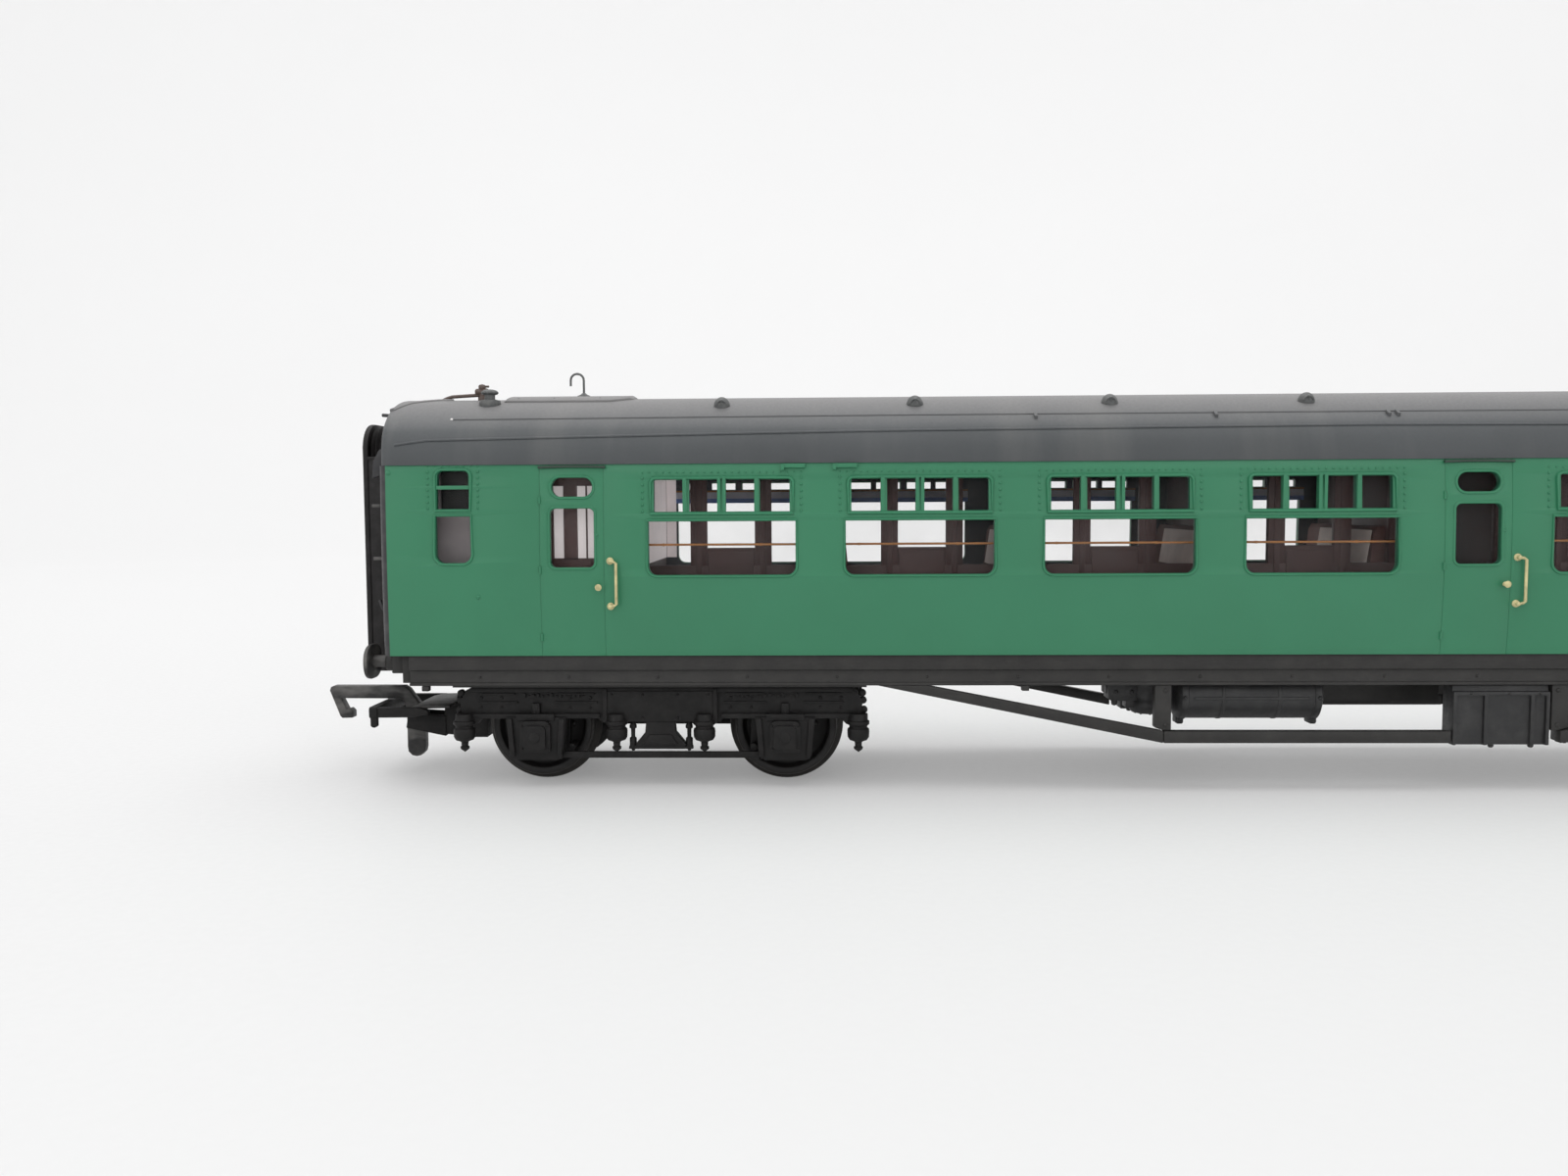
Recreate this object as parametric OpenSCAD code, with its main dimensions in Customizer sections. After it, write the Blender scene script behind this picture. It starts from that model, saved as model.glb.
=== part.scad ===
// Model corridor passenger coach for 16.5 mm gauge track, in millimetres.
// +X runs along the coach, -Y is the corridor side, +Z is up.
// The origin lies on the surface that the wheel flanges stand on, under the middle of the coach.

/* [Body] */
// Length of the body over its bowed ends
body_len = 263; // [262:0.5:264]
// Greatest width of the body, at the waist
body_w = 35.6; // [35.2:0.1:36]
// Height of the body's lower edge
body_low = 18.5; // [18.5:0.1:18.8]
// Height of the joint between body and roof
cant_z = 43.9; // [43.8:0.1:44.2]
// Height of the crown of the roof
crown_z = 53.7; // [53:0.1:54.5]
// Thickness of the body wall
wall = 1.0; // [0.9:0.1:1.1]

/* [Openings] */
// Distance of the end doors from the middle
end_door_x = 103.9; // [103:0.1:104.5]
// Place of the middle door
mid_door_x = 13.8; // [13.5:0.1:14.2]
// Spacing of the first class windows
first_pitch = 26.0; // [25.8:0.1:26.1]
// Spacing of the second class windows
second_pitch = 25.5; // [25.3:0.1:25.6]
// Distance of the outermost large windows from the middle
outer_window_x = 84.1; // [83.9:0.1:84.3]
// Width of a large window's lower light
window_w = 19.4; // [19:0.1:19.6]
// Height of the sill of a large window
sill_z = 29.1; // [28.9:0.1:29.3]

/* [Bogies] */
// Distance of each bogie pivot from the middle
bogie_x = 93; // [92:0.5:94]
// Distance between the two axles of a bogie
wheelbase = 34; // [33.5:0.5:34.5]
// Radius of the wheel tread
tread_r = 7.05; // [7:0.05:7.1]
// Height of a wheel flange
flange_h = 0.9; // [0.8:0.05:0.9]
// Distance between the backs of the two wheels of an axle
back_to_back = 14.5; // [14.4:0.05:14.6]

/* [Underframe] */
// Distance of each truss post from the middle
post_x = 25.5; // [25:0.5:26]
// Height of the lower edge of the truss rods
truss_low = 6.6; // [6.4:0.1:7]

/* [Hidden] */
$fn = 72;
half_w = body_w / 2;
half_len = body_len / 2;
side_r = 134;                      // radius of the curved body side
waist_z = 31;                      // height where the body is widest
bow_r = 80;                        // radius of the bowed body ends in plan
end_wall = 1.6;
glass = 0.6;
roof_wall = 1.2;
roof_half = half_w - 0.45;
haunch_r = 6.5;                    // tight curve above the cantrail
roof_h = crown_z - cant_z;
roof_r = ((roof_half - haunch_r) * (roof_half - haunch_r) + roof_h * roof_h - haunch_r * haunch_r)
         / (2 * (roof_h - haunch_r));
roof_cy = crown_z - roof_r;        // height of the centre of the crown's arc
tangent_y = (roof_half - haunch_r) * roof_r / (roof_r - haunch_r);
flange_r = tread_r + flange_h;
axle_z = flange_r;
wheel_w = 2.8;
axle_r = 1.0;
journal_r = 0.5;
running = 0.06;                    // radial clearance of a running fit
frame_in = 11.9;                   // inner face of a bogie side frame
frame_out = 13.6;                  // outer face of a bogie side frame
slab_low = 16.5;                   // underside of the chassis floor
sole_low = 14.35;                  // underside of the solebars
sole_out = 16.3;
slab_half = 16.7;
slab_end = 126.5;
head_t = 1.4;                      // thickness of a headstock
floor_low = 20;
floor_top = 21;
partition_y = -9.5;                // outer face of the corridor partition
partition_t = 1.0;
partition_top = 43.4;
light_top = 42.0;                  // top of a large window
transom_low = 36.4;
transom_top = 37.45;
post_w = 2.3;                      // width of a post in the corridor partition
screw_x = 115;
vent_y = 9;
truss_end_x = 63.5;                // high end of the slanted truss rods
rod_t = 1.6;
battery_x = 12.0;
battery_len = 12.5;
battery_low = 6.3;
plate_face = 135.1;                // outer face of a gangway plate
plate_t = 0.8;
buffer_y = 12;
buffer_z = 17.2;
hook_pivot = [-37.9, 7.2];         // pivot of a coupling hook, from the bogie's centre
pin_r = 0.4;
doors = [-end_door_x, mid_door_x, end_door_x];
first_windows = [for (i = [0:3]) -outer_window_x + first_pitch * i];
second_windows = [for (i = [0:2]) outer_window_x - second_pitch * i];
windows = concat(first_windows, second_windows);
first_doors = [for (i = [0:3]) -83.5 + 26.3 * i];        // compartment doors along the corridor
second_doors = second_windows;
first_walls = [-96, -69.65, -43.25, -16.85, 6.5];         // walls between compartments
second_walls = [20.6, 45.9, 71.4, 96];

// ---- helpers -------------------------------------------------------------------------------

// Draws an outline given across the coach (Y, Z) as a bar from x0 to x1
module bar_x(x0, x1) translate([x0, 0, 0]) rotate([90, 0, 90]) linear_extrude(x1 - x0) children();

// Draws an outline given along the coach (X, Z) as a plate from y0 to y1
module plate_y(y0, y1) translate([0, y1, 0]) rotate([90, 0, 0]) linear_extrude(y1 - y0) children();

// A box from its lowest to its highest corner
module box(low, high) translate(low) cube(high - low);

// A round bar along X, Y or Z that starts at the given point
module rod_x(at, len, r) translate(at) rotate([0, 90, 0]) cylinder(h = len, r = r);
module rod_y(at, len, r) translate(at) rotate([-90, 0, 0]) cylinder(h = len, r = r);
module rod_z(at, len, r) translate(at) cylinder(h = len, r = r);

// The same at both ends of the coach, turned half a turn about the middle
module both_ends() for (turn = [0, 180]) rotate([0, 0, turn]) children();

// The same on both sides, mirrored across the middle
module both_sides() for (side = [0, 1]) mirror([0, side, 0]) children();

// An upright rectangle from its lower left to its upper right corner, with round corners
module rounded(low, high, r) {
  translate([low[0] + r, low[1]]) square([high[0] - low[0] - 2 * r, high[1] - low[1]]);
  translate([low[0], low[1] + r]) square([high[0] - low[0], high[1] - low[1] - 2 * r]);
  for (x = [low[0] + r, high[0] - r], z = [low[1] + r, high[1] - r]) translate([x, z]) circle(r);
}

// Half width of the body's outside at height z
function side_y(z) = half_w - side_r + sqrt(side_r * side_r - (z - waist_z) * (z - waist_z));

// Height of the roof's outside at distance y from the middle
function roof_z(y) = roof_cy + sqrt(roof_r * roof_r - y * y);

// Cross-section of the body, set in from the outside by inset
module body_section(inset, low, high) intersection() {
  translate([half_w - side_r, waist_z]) circle(side_r - inset, $fn = 720);
  translate([side_r - half_w, waist_z]) circle(side_r - inset, $fn = 720);
  translate([-half_w, low]) square([body_w, high - low]);
}

// The upright cylinder that the bowed -X end belongs to, set in by inset
module bow(inset) translate([bow_r - half_len, 0, 0]) cylinder(h = crown_z + 5, r = bow_r - inset, $fn = 720);

// What lies beyond both bowed ends, set in by inset
module beyond_ends(inset) both_ends() difference() {
  box([-half_len - 2, -half_w - 1, 10], [-half_len + 14, half_w + 1, crown_z + 3]);
  bow(inset);
}

// Cross-section of the roof: a flat arc between two tight haunches
module roof_section(inset) {
  intersection() {
    translate([0, roof_cy]) circle(roof_r - inset, $fn = 360);
    translate([-tangent_y, cant_z]) square([2 * tangent_y, roof_h]);
  }
  for (side = [-1, 1]) intersection() {
    translate([side * (roof_half - haunch_r), cant_z]) circle(haunch_r - inset);
    translate([-half_w, cant_z]) square([body_w, roof_h]);
  }
}

// ---- body ----------------------------------------------------------------------------------

// The lights of one large window: a deep lower pane and four small panes above it
module window_lights(x) {
  lower = window_w / 2;
  upper = lower - 0.7;
  bar = 0.7;
  pane = (2 * upper - 3 * bar) / 4;
  rounded([x - lower, sill_z], [x + lower, transom_low], 1.2);
  translate([x - lower, transom_low - 2]) square([window_w, 2]);
  for (i = [0:3]) let (left = x - upper + i * (pane + bar))
    translate([left, transom_top]) square([pane, light_top - transom_top]);
}

// The lights of one door: an oval toplight over a droplight
module door_lights(x) {
  rounded([x - 2.7, 39.6], [x + 2.7, 42.2], 1.29);
  rounded([x - 2.95, 30.3], [x + 2.95, 38.1], 0.8);
}

// The lights of the small window at each end
module end_lights(x) {
  rounded([x - 2.35, 30.9], [x + 2.35, 37.1], 1.2);
  translate([x - 2.35, 35]) square([4.7, 2.1]);
  translate([x - 2.2, 38.1]) square([4.4, 2.6]);
  rounded([x - 2.1, 41.2], [x + 2.1, 43.2], 0.7);
}

module body_shell() color([0.27, 0.51, 0.40]) difference() {
  difference() {
    bar_x(-half_len, half_len) body_section(0, body_low, cant_z);
    beyond_ends(0);
  }
  difference() {
    bar_x(-half_len, half_len) body_section(wall, body_low - 1, cant_z + 1);
    beyond_ends(end_wall);
  }
  both_sides() plate_y(half_w - 3, half_w + 1) {
    for (x = windows) window_lights(x);
    for (x = doors) door_lights(x);
    for (x = [-119.75, 119.75]) end_lights(x);
  }
  both_ends() box([-half_len - 1, -4.7, 19.1], [0.8 - half_len, 4.7, 43.5]);
}

module roof() color([0.36, 0.38, 0.39]) difference() {
  bar_x(-half_len, half_len) roof_section(0);
  beyond_ends(0);
  difference() {
    bar_x(-half_len, half_len) difference() {
      roof_section(roof_wall);
      translate([-half_w, cant_z - 1]) square([body_w, 1]);
    }
    beyond_ends(end_wall);
  }
}

// A clear strip that lines one side behind its windows
module glazing(side) color([0.85, 0.9, 0.92, 0.35]) intersection() {
  bar_x(-125, 125) difference() {
    body_section(wall + 0.06, 28.2, 43.4);
    body_section(wall + glass, 28, 44);
  }
  translate([-half_len, side < 0 ? -half_w : 2, 0]) cube([body_len, half_w - 2, crown_z]);
}

module glazing_corridor_side() glazing(-1);
module glazing_compartment_side() glazing(1);

// Thin rails across the corridor windows, on the inside of the glazing
module corridor_handrails() color([0.62, 0.38, 0.18])
  for (span = [[-95, 7.2], [20, 95]])
    rod_x([span[0], -(side_y(33.2) - wall - glass - 0.25), 33.2], span[1] - span[0], 0.18);

module rain_strips() color([0.2, 0.22, 0.2])
  both_sides() for (x = doors)
    box([x - 4.45, side_y(43.4) + 0.02, 43.4], [x + 4.45, side_y(43.4) + 0.35, 43.75]);

// Offset of the handles from the middle of a door: always on the right, seen from outside
function handle_x(side) = side < 0 ? 3.5 : -3.5;

module door_handles() color([0.78, 0.68, 0.42])
  for (side = [-1, 1], x = doors) let (y = side_y(27.7))
    translate([x + handle_x(side), 0, 27.7]) {
      rod_y([0, side < 0 ? -y - 0.6 : y, 0], 0.6, 0.42);
      rod_y([0, side < 0 ? -y - 0.95 : y + 0.6, 0], 0.35, 0.6);
    }

module grab_handles() color([0.78, 0.68, 0.42])
  for (side = [-1, 1], x = doors) let (y = side_y(28) + 0.6, out = side < 0 ? -1 : 1)
    translate([x + handle_x(side) * 1.45, 0, 0]) {
      for (z = [25.2, 31.1]) {
        rod_y([0, side < 0 ? -y - 0.25 : side_y(z), z], y + 0.25 - side_y(z), 0.35);
        rod_x([side < 0 ? 0 : -0.95, out * y, z], 0.95, 0.24);
      }
      rod_z([-out * 0.95, out * y, 25.0], 6.3, 0.24);
    }

// ---- interior ------------------------------------------------------------------------------

module interior_floor() color([0.27, 0.19, 0.19]) difference() {
  union() {
    box([-126.5, -15.6, floor_low], [126.5, 15.6, floor_top]);
    both_sides() box([-110, 13, body_low], [110, 15, floor_low]);
    for (x = [-screw_x, screw_x]) rod_z([x, 0, body_low], floor_low - body_low, 2.6);
  }
  for (x = [-screw_x, screw_x]) rod_z([x, 0, body_low - 1], 4, 0.85);
}

// Panes in the corridor partition beside one compartment door
module partition_panes(x, left, right) {
  door_half = 3.3;
  for (span = [[x - door_half, x + door_half, 32.5], [left, x - door_half - post_w, 29],
               [x + door_half + post_w, right, 29]]) {
    translate([span[0], span[2]]) square([span[1] - span[0], 38.8 - span[2]]);
    translate([span[0], 40.3]) square([span[1] - span[0], 1.7]);
  }
}

// A length of the partition between corridor and compartments
module partition_length(x0, x1, doors_at, walls_at) plate_y(partition_y, partition_y + partition_t)
  difference() {
    translate([x0, floor_top]) square([x1 - x0, partition_top - floor_top]);
    for (i = [0:len(doors_at) - 1])
      partition_panes(doors_at[i], walls_at[i] + 0.45, walls_at[i + 1] - 0.45);
  }

module corridor_partition() color([0.27, 0.19, 0.19]) {
  partition_length(-97, 7.5, first_doors, first_walls);
  partition_length(19.6, 97, [for (i = [2:-1:0]) second_doors[i]], second_walls);
}

module compartment_walls() color([0.27, 0.19, 0.19])
  for (x = concat(first_walls, second_walls))
    box([x - 0.4, partition_y + partition_t, floor_top], [x + 0.4, 15.6, partition_top]);

module end_walls() color([0.33, 0.28, 0.27]) both_ends() {
  box([-110, -8, floor_top], [-109.2, 15.6, partition_top]);
  box([-126, -13.4, floor_top], [-113, -12.8, partition_top]);
  box([-105, 2, floor_top], [-103.4, 2.8, partition_top]);
}

// Benches that face each other between two walls. The first compartment has only one.
module benches(left, right, arm)
for (wall_x = left == first_walls[0] ? [right - 0.4] : [left + 0.4, right - 0.4]) {
  out = wall_x < (left + right) / 2 ? 1 : -1;
  y0 = partition_y + partition_t + 0.4;
  plate_y(y0, 15.4) polygon([[wall_x, floor_top], [wall_x + out * 6.2, floor_top],
    [wall_x + out * 6.6, floor_top + 5], [wall_x + out * 2.1, floor_top + 4.6],
    [wall_x + out * 1.3, floor_top + 14], [wall_x, floor_top + 14]]);
  for (y = [0:arm]) let (at = y0 + 0.6 + y * (15.4 - y0 - 2.2) / arm)
    box([min(wall_x + out * 2.3, wall_x + out * 5.6), at, floor_top + 5.1],
        [max(wall_x + out * 2.3, wall_x + out * 5.6), at + 1, floor_top + 7.6]);
}

module seats_first_class() color([0.35, 0.2, 0.18])
  for (i = [0:3]) benches(first_walls[i], first_walls[i + 1], 3);

module seats_second_class() color([0.3, 0.2, 0.2])
  for (i = [0:2]) benches(second_walls[i], second_walls[i + 1], 1);

module ballast_weight() color([0.55, 0.55, 0.56])
  box([-88, -12, body_low], [88, 12, floor_low - 0.1]);

// ---- underframe ----------------------------------------------------------------------------

module body_screws() color([0.6, 0.6, 0.62]) for (x = [-screw_x, screw_x]) {
  rod_z([x, 0, slab_low], floor_top - slab_low, 0.8);
  rod_z([x, 0, slab_low - 0.7], 0.7, 1.7);
}

module chassis_floor() color([0.15, 0.15, 0.15]) difference() {
  union() {
    box([-slab_end, -slab_half, slab_low], [slab_end, slab_half, body_low]);
    for (x = [-bogie_x, bogie_x]) rod_z([x, 0, 14.1], slab_low - 14.1 + 0.1, 3.6);
  }
  for (x = [-bogie_x, bogie_x]) rod_z([x, 0, 13], 6, 1.22);
  for (x = [-screw_x, screw_x]) rod_z([x, 0, 15], 5, 0.85);
}

module solebars() color([0.17, 0.17, 0.17]) both_sides() bar_x(-slab_end, slab_end)
  polygon([[14.9, sole_low], [sole_out + 0.2, sole_low], [sole_out + 0.2, sole_low + 0.35],
    [sole_out - 0.1, sole_low + 0.5], [sole_out - 0.1, slab_low], [14.9, slab_low]]);

module headstocks() color([0.15, 0.15, 0.15]) both_ends()
  box([-slab_end - head_t, -15, sole_low + 0.2], [-slab_end, 15, body_low - 0.1]);

// One truss rod from its high end to its low end, with flat ends
module slanted_rod(high, low, t) polygon([high, [high[0] + 6.4, high[1]], [low[0], low[1] + t], low]);

module truss_rods() color([0.15, 0.15, 0.15]) both_ends() plate_y(-16.5, -15.1) {
  for (side = [0, 1]) mirror([side, 0])
    slanted_rod([-truss_end_x, sole_low - 0.02], [-post_x - 0.3, truss_low], rod_t);
  translate([-post_x - 0.25, truss_low]) square([battery_x - 0.3 + post_x + 0.25, rod_t]);
}

module truss_posts() color([0.15, 0.15, 0.15]) {
  foot = truss_low + rod_t + 0.05;
  both_sides() for (end = [0, 1]) mirror([end, 0, 0]) plate_y(14.9, 16.2)
    polygon([[-post_x - 1.4, sole_low - 0.02], [-post_x - 1.4, foot + 0.4], [-post_x - 0.25, foot],
      [-post_x + 0.75, foot], [-post_x + 0.75, sole_low - 0.02]]);
  for (x = [-post_x, post_x]) box([x - 0.6, -14.85, 14.2], [x + 0.6, 14.85, 15.4]);
}

module reservoir_tank() color([0.2, 0.2, 0.2]) {
  rod_x([-23, -11.6, 12.4], 18.6, 3.2);
  for (x = [-23.3, -5.3]) rod_x([x, -11.6, 12.4], 1.2, 3.4);
  for (x = [-22.7, -4.7]) box([x - 0.5, -12.6, 8.5], [x + 0.5, -10.6, 9.2]);
  for (x = [-21.5, -6.1]) box([x - 0.5, -13, 15.2], [x + 0.5, -10.2, slab_low]);
}

module vacuum_cylinders() color([0.2, 0.2, 0.2]) {
  for (turn = [0, 180]) rotate([0, 0, turn]) {
    rod_z([-26.1, -9, 9.5], 4.5, 2.5);
    box([-31.7, -10.6, 11.4], [-27, -7.4, 14]);
    box([-31.3, -10.2, 13.9], [-28.2, -7.8, slab_low]);
  }
}

// A box for batteries with ribs on its outer face, which lies at y
module battery_box(x, y) {
  rib = 0.5;
  box([x, y + rib, battery_low], [x + battery_len, y + 3, sole_low - 0.1]);
  box([x + 0.6, y + 1.9, sole_low - 0.1], [x + battery_len - 0.6, y + 3, slab_low]);
  for (at = [0, 4, 10, battery_len - rib])
    box([x + at, y, battery_low], [x + at + rib, y + rib, 12.9]);
  box([x, y, 12.9], [x + battery_len, y + rib, 13.4]);
}

module battery_boxes() color([0.2, 0.2, 0.2]) {
  both_ends() battery_box(battery_x, -16.3);
  battery_box(post_x + 1.6, -14.9);
}

module brake_gear() color([0.15, 0.15, 0.15]) {
  box([-3.8, -5.5, 10.5], [15.2, -2.5, slab_low]);
  rod_x([-60, 0, 13.2], 56, 0.5);
  rod_x([11.2, 0, 13.2], 49, 0.5);
  for (x = [-58, -42, 42, 58]) box([x - 0.4, -0.4, 13.75], [x + 0.4, 0.4, slab_low]);
}

module solebar_steps() color([0.15, 0.15, 0.15]) both_sides()
  for (x = [-124.4, -44, 44, 124.4])
    box([x - 0.5, sole_out - 0.9, sole_low - 0.75], [x + 0.5, sole_out + 0.15, sole_low - 0.02]);

// ---- ends ----------------------------------------------------------------------------------

module buffer_housings() color([0.15, 0.15, 0.15]) both_ends() both_sides() {
  box([-129.7, buffer_y - 1.9, buffer_z - 1.5], [-127.9, buffer_y + 1.9, buffer_z + 1.2]);
  rod_x([-131, buffer_y, buffer_z], 1.4, 1.25);
}

module buffer_heads() color([0.18, 0.18, 0.18]) both_ends() both_sides() {
  rod_x([-132.8, buffer_y, buffer_z], 1.78, 1.05);
  intersection() {
    rod_x([-133.6, buffer_y, buffer_z], 0.8, 3.1);
    box([-134, buffer_y - 4, buffer_z - 2.4], [-132, buffer_y + 4, buffer_z + 2.4]);
  }
}

// Outline across the coach of a gangway frame, with round top corners
module gangway_outline(half, low, high, r) {
  translate([-half, low]) square([2 * half, high - low - r]);
  translate([-half + r, low]) square([2 * half - 2 * r, high - low]);
  for (y = [-half + r, half - r]) translate([y, high - r]) circle(r);
}

// Cuts what stands on a body end to the end's own bow
module beyond_body() difference() {
  children();
  bow(-0.03);
}

// Folded bellows with their open passage, at the -X end
module bellows() beyond_body() bar_x(-134.25, 0.6 - half_len) difference() {
  gangway_outline(7.3, 15.8, 49.2, 3);
  gangway_outline(5.2, 17.6, 45.5, 1.5);
}

module pleats() for (i = [0:3]) let (x = -134 + 0.68 * i)
  bar_x(x, x + 0.36) difference() {
    gangway_outline(8.0, 15.1, 50.0, 3.6);
    gangway_outline(7.2, 15.9, 49.1, 2.9);
  }

module gangway_bellows() color([0.16, 0.14, 0.14]) union() {
  bellows();
  pleats();
}

module gangway_plate() color([0.12, 0.11, 0.11]) bar_x(-plate_face, plate_t - plate_face)
  difference() {
    gangway_outline(8.2, 14.9, 50.1, 3.8);
    gangway_outline(5.0, 17.4, 45.7, 1.5);
  }

module gangway_bellows_left() gangway_bellows();
module gangway_bellows_right() rotate([0, 0, 180]) gangway_bellows();
module gangway_plate_left() gangway_plate();
module gangway_plate_right() rotate([0, 0, 180]) gangway_plate();

module gangway_doors() color([0.25, 0.24, 0.24]) both_ends() difference() {
  box([0.15 - half_len, -4.6, 19.2], [0.78 - half_len, 4.6, 43.4]);
  box([-half_len, -3, 33], [0.5 - half_len, 3, 41]);
}

module end_steps() color([0.12, 0.12, 0.12]) both_ends() for (z = [31.3, 38.4])
  beyond_body() box([-131.4, -15.3, z], [-128.5, -13.2, z + 0.4]);

module lamp_brackets() color([0.12, 0.12, 0.12]) both_ends() for (y = [-11, 11]) {
  beyond_body() box([-131.7, y - 0.6, 24.3], [-129.5, y + 0.6, 24.8]);
  box([-132.1, y - 0.6, 24.3], [-131.7, y + 0.6, 26.2]);
}

// ---- roof fittings -------------------------------------------------------------------------

// Cuts what stands on the roof to the roof's own curve
module on_roof() difference() {
  union() children();
  bar_x(-half_len, half_len) roof_section(0);
}

module roof_vents() color([0.3, 0.31, 0.32]) on_roof()
  for (x = [-84.6, -58.2, -31.8, -5.4, 33.1, 58.6, 84.1], y = [-vent_y, vent_y])
    translate([x, y, roof_z(vent_y) + 0.15]) sphere(1.1);

module mushroom_vents() color([0.3, 0.31, 0.32]) on_roof() both_ends() {
  rod_z([-117.1, -7.6, 51], 2.9, 0.75);
  rod_z([-117.1, -7.6, 51.2], 1.9, 1.4);
  translate([-117.1, -7.6, 53.8]) cylinder(h = 0.7, r1 = 1.2, r2 = 0.7);
}

module tank_cover() color([0.36, 0.38, 0.39]) difference() {
  intersection() {
    bar_x(-115.5, -97.5) roof_section(-0.45);
    box([-120, -6.5, crown_z - 3], [-95, 6.5, crown_z + 1]);
  }
  bar_x(-half_len, half_len) roof_section(-0.03);
}

module tank_cover_left() tank_cover();
module tank_cover_right() rotate([0, 0, 180]) tank_cover();

// A thin pipe that rises from the tank cover and bends over
module gooseneck_pipes() color([0.25, 0.24, 0.24]) both_ends() translate([-105.35, 0, crown_z + 0.46]) {
  cylinder(h = 0.5, r1 = 0.95, r2 = 0.5);
  rod_z([0, 0, 0.4], 1.95, 0.16);
  translate([-0.95, 0, 2.35]) rotate([90, 0, 0]) rotate_extrude(angle = 180) translate([0.95, 0]) circle(0.16);
  rod_z([-1.9, 0, 1.55], 0.8, 0.16);
}

module filler_pipes() color([0.33, 0.25, 0.22]) on_roof() both_ends() {
  rod_x([-124.8, -3, roof_z(3) + 0.4], 5.5, 0.25);
  rod_z([-119.4, -3, roof_z(3) - 0.5], 1.7, 0.55);
  rod_x([-120.3, -3, roof_z(3) + 1.3], 1.8, 0.5);
}

// ---- bogies --------------------------------------------------------------------------------

// Outside outline of a bogie side frame
module frame_outline() polygon([[-27.4, 9.5], [-27.4, 12], [-25.8, 13.8], [25.8, 13.8], [27.4, 12],
  [27.4, 9.5], [8.5, 9.5], [8.5, 9], [-8.5, 9], [-8.5, 9.5]]);

// Plate that guides one axlebox, wider at its top
module horn_outline(x) polygon([[x - 4, 9.6], [x - 3.4, 4], [x + 3.4, 4], [x + 4, 9.6]]);

// One side of the bogie, at +Y
module bogie_side() {
  half_base = wheelbase / 2;
  plate_y(frame_in, frame_out) {
    frame_outline();
    for (x = [-half_base, half_base]) horn_outline(x);
  }
  for (x = [-half_base, half_base]) {
    plate_y(frame_out, 14.5) horn_outline(x);
    box([x - 1.8, 14.5, 5.4], [x + 1.8, 15.5, 9.2]);
  }
  box([-7, frame_out, 9.2], [7, 14.2, 13.2]);
  for (x = [-26.9, -6, 6, 26.9]) {
    box([x - 1, 12.2, 8.6], [x + 1, 15, 9.8]);
    rod_z([x, 13.9, 6.6], 2.2, 1.3);
    rod_z([x, 13.9, 4.9], 1.8, 0.45);
  }
  plate_y(12.4, 14) polygon([[-3.3, 5.5], [3.3, 5.5], [3.3, 6.4], [2, 8], [2, 9.1], [-2, 9.1],
    [-2, 8], [-3.3, 6.4]]);
  for (x = [-3.8, 3.8]) rod_z([x, 13.2, 5.5], 3.7, 0.32);
  box([-4.3, 12.8, 5.3], [4.3, 13.6, 5.6]);
  box([-13.6, 12.9, 4], [13.6, 13.6, 4.9]);
}

// Bogie frame: two sides joined by a bolster and two end beams, with a block for the coupling
module bogie_frame() color([0.14, 0.14, 0.14]) difference() {
  union() {
    both_sides() bogie_side();
    box([-4, -frame_in - 0.1, 9.8], [4, frame_in + 0.1, 13.2]);
    rod_z([0, 0, 9.8], 4.1, 4);
    for (x = [-27.4, 26.2]) box([x, -frame_in - 0.1, 9.5], [x + 1.2, frame_in + 0.1, 11.8]);
    box([-31.2, -2.6, 4.8], [-26.8, 2.6, 11]);
  }
  rod_z([0, 0, 8], 8, 1.6);
  for (x = [-wheelbase / 2, wheelbase / 2])
    both_sides() rod_y([x, frame_in - 1, axle_z], 2.6, 1.3);
}

module bearing_cups() color([0.7, 0.58, 0.32])
  for (x = [-wheelbase / 2, wheelbase / 2]) both_sides() difference() {
    rod_y([x, frame_in - 0.15, axle_z], 1.6, 1.3);
    rod_y([x, frame_in - 0.25, axle_z], 1.4, journal_r + running);
  }

// Bumper bar, top plate and forked tail that carry the hook
module coupling() color([0.15, 0.15, 0.15]) difference() {
  union() {
    box([-42.6, -7.2, 8.3], [-41.3, 7.2, 9.95]);
    both_sides() box([-42.6, 6.1, 8.3], [-34, 7.2, 9.95]);
    box([-36.4, -6.2, 9.45], [-31.25, 6.2, 9.95]);
    box([-33.2, -2.3, 5.2], [-31.25, 2.3, 9.6]);
    both_sides() box([-38.9, 1.25, 5.6], [-33.1, 2.3, 8]);
    both_sides() box([-42.2, 6.2, 7.1], [-41.3, 7.1, 8.4]);
  }
  rod_y([hook_pivot[0], -4, hook_pivot[1]], 8, pin_r);
}

// Hook beam with its barbed nose, and the dropper that hangs below its pivot
module hook() color([0.15, 0.15, 0.15]) difference() {
  union() {
    plate_y(-0.85, 0.85) polygon([[-50.6, 11.3], [-50.1, 12.1], [-39.4, 12.1], [-36.6, 8.4],
      [-36.6, 2.9], [-39.2, 2.9], [-39.2, 9.2], [-39.9, 10.2], [-48.6, 10.2], [-48.2, 8.4],
      [-47.6, 8.6], [-47.5, 8], [-48.4, 7.4], [-49, 7.4]]);
    rod_y([-37.9, -0.85, 2.9], 1.7, 1.3);
  }
  rod_y([hook_pivot[0], -2, hook_pivot[1]], 4, pin_r + running);
}

module hook_pin() color([0.6, 0.6, 0.62]) rod_y([hook_pivot[0], -2.3, hook_pivot[1]], 4.6, pin_r);

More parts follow.
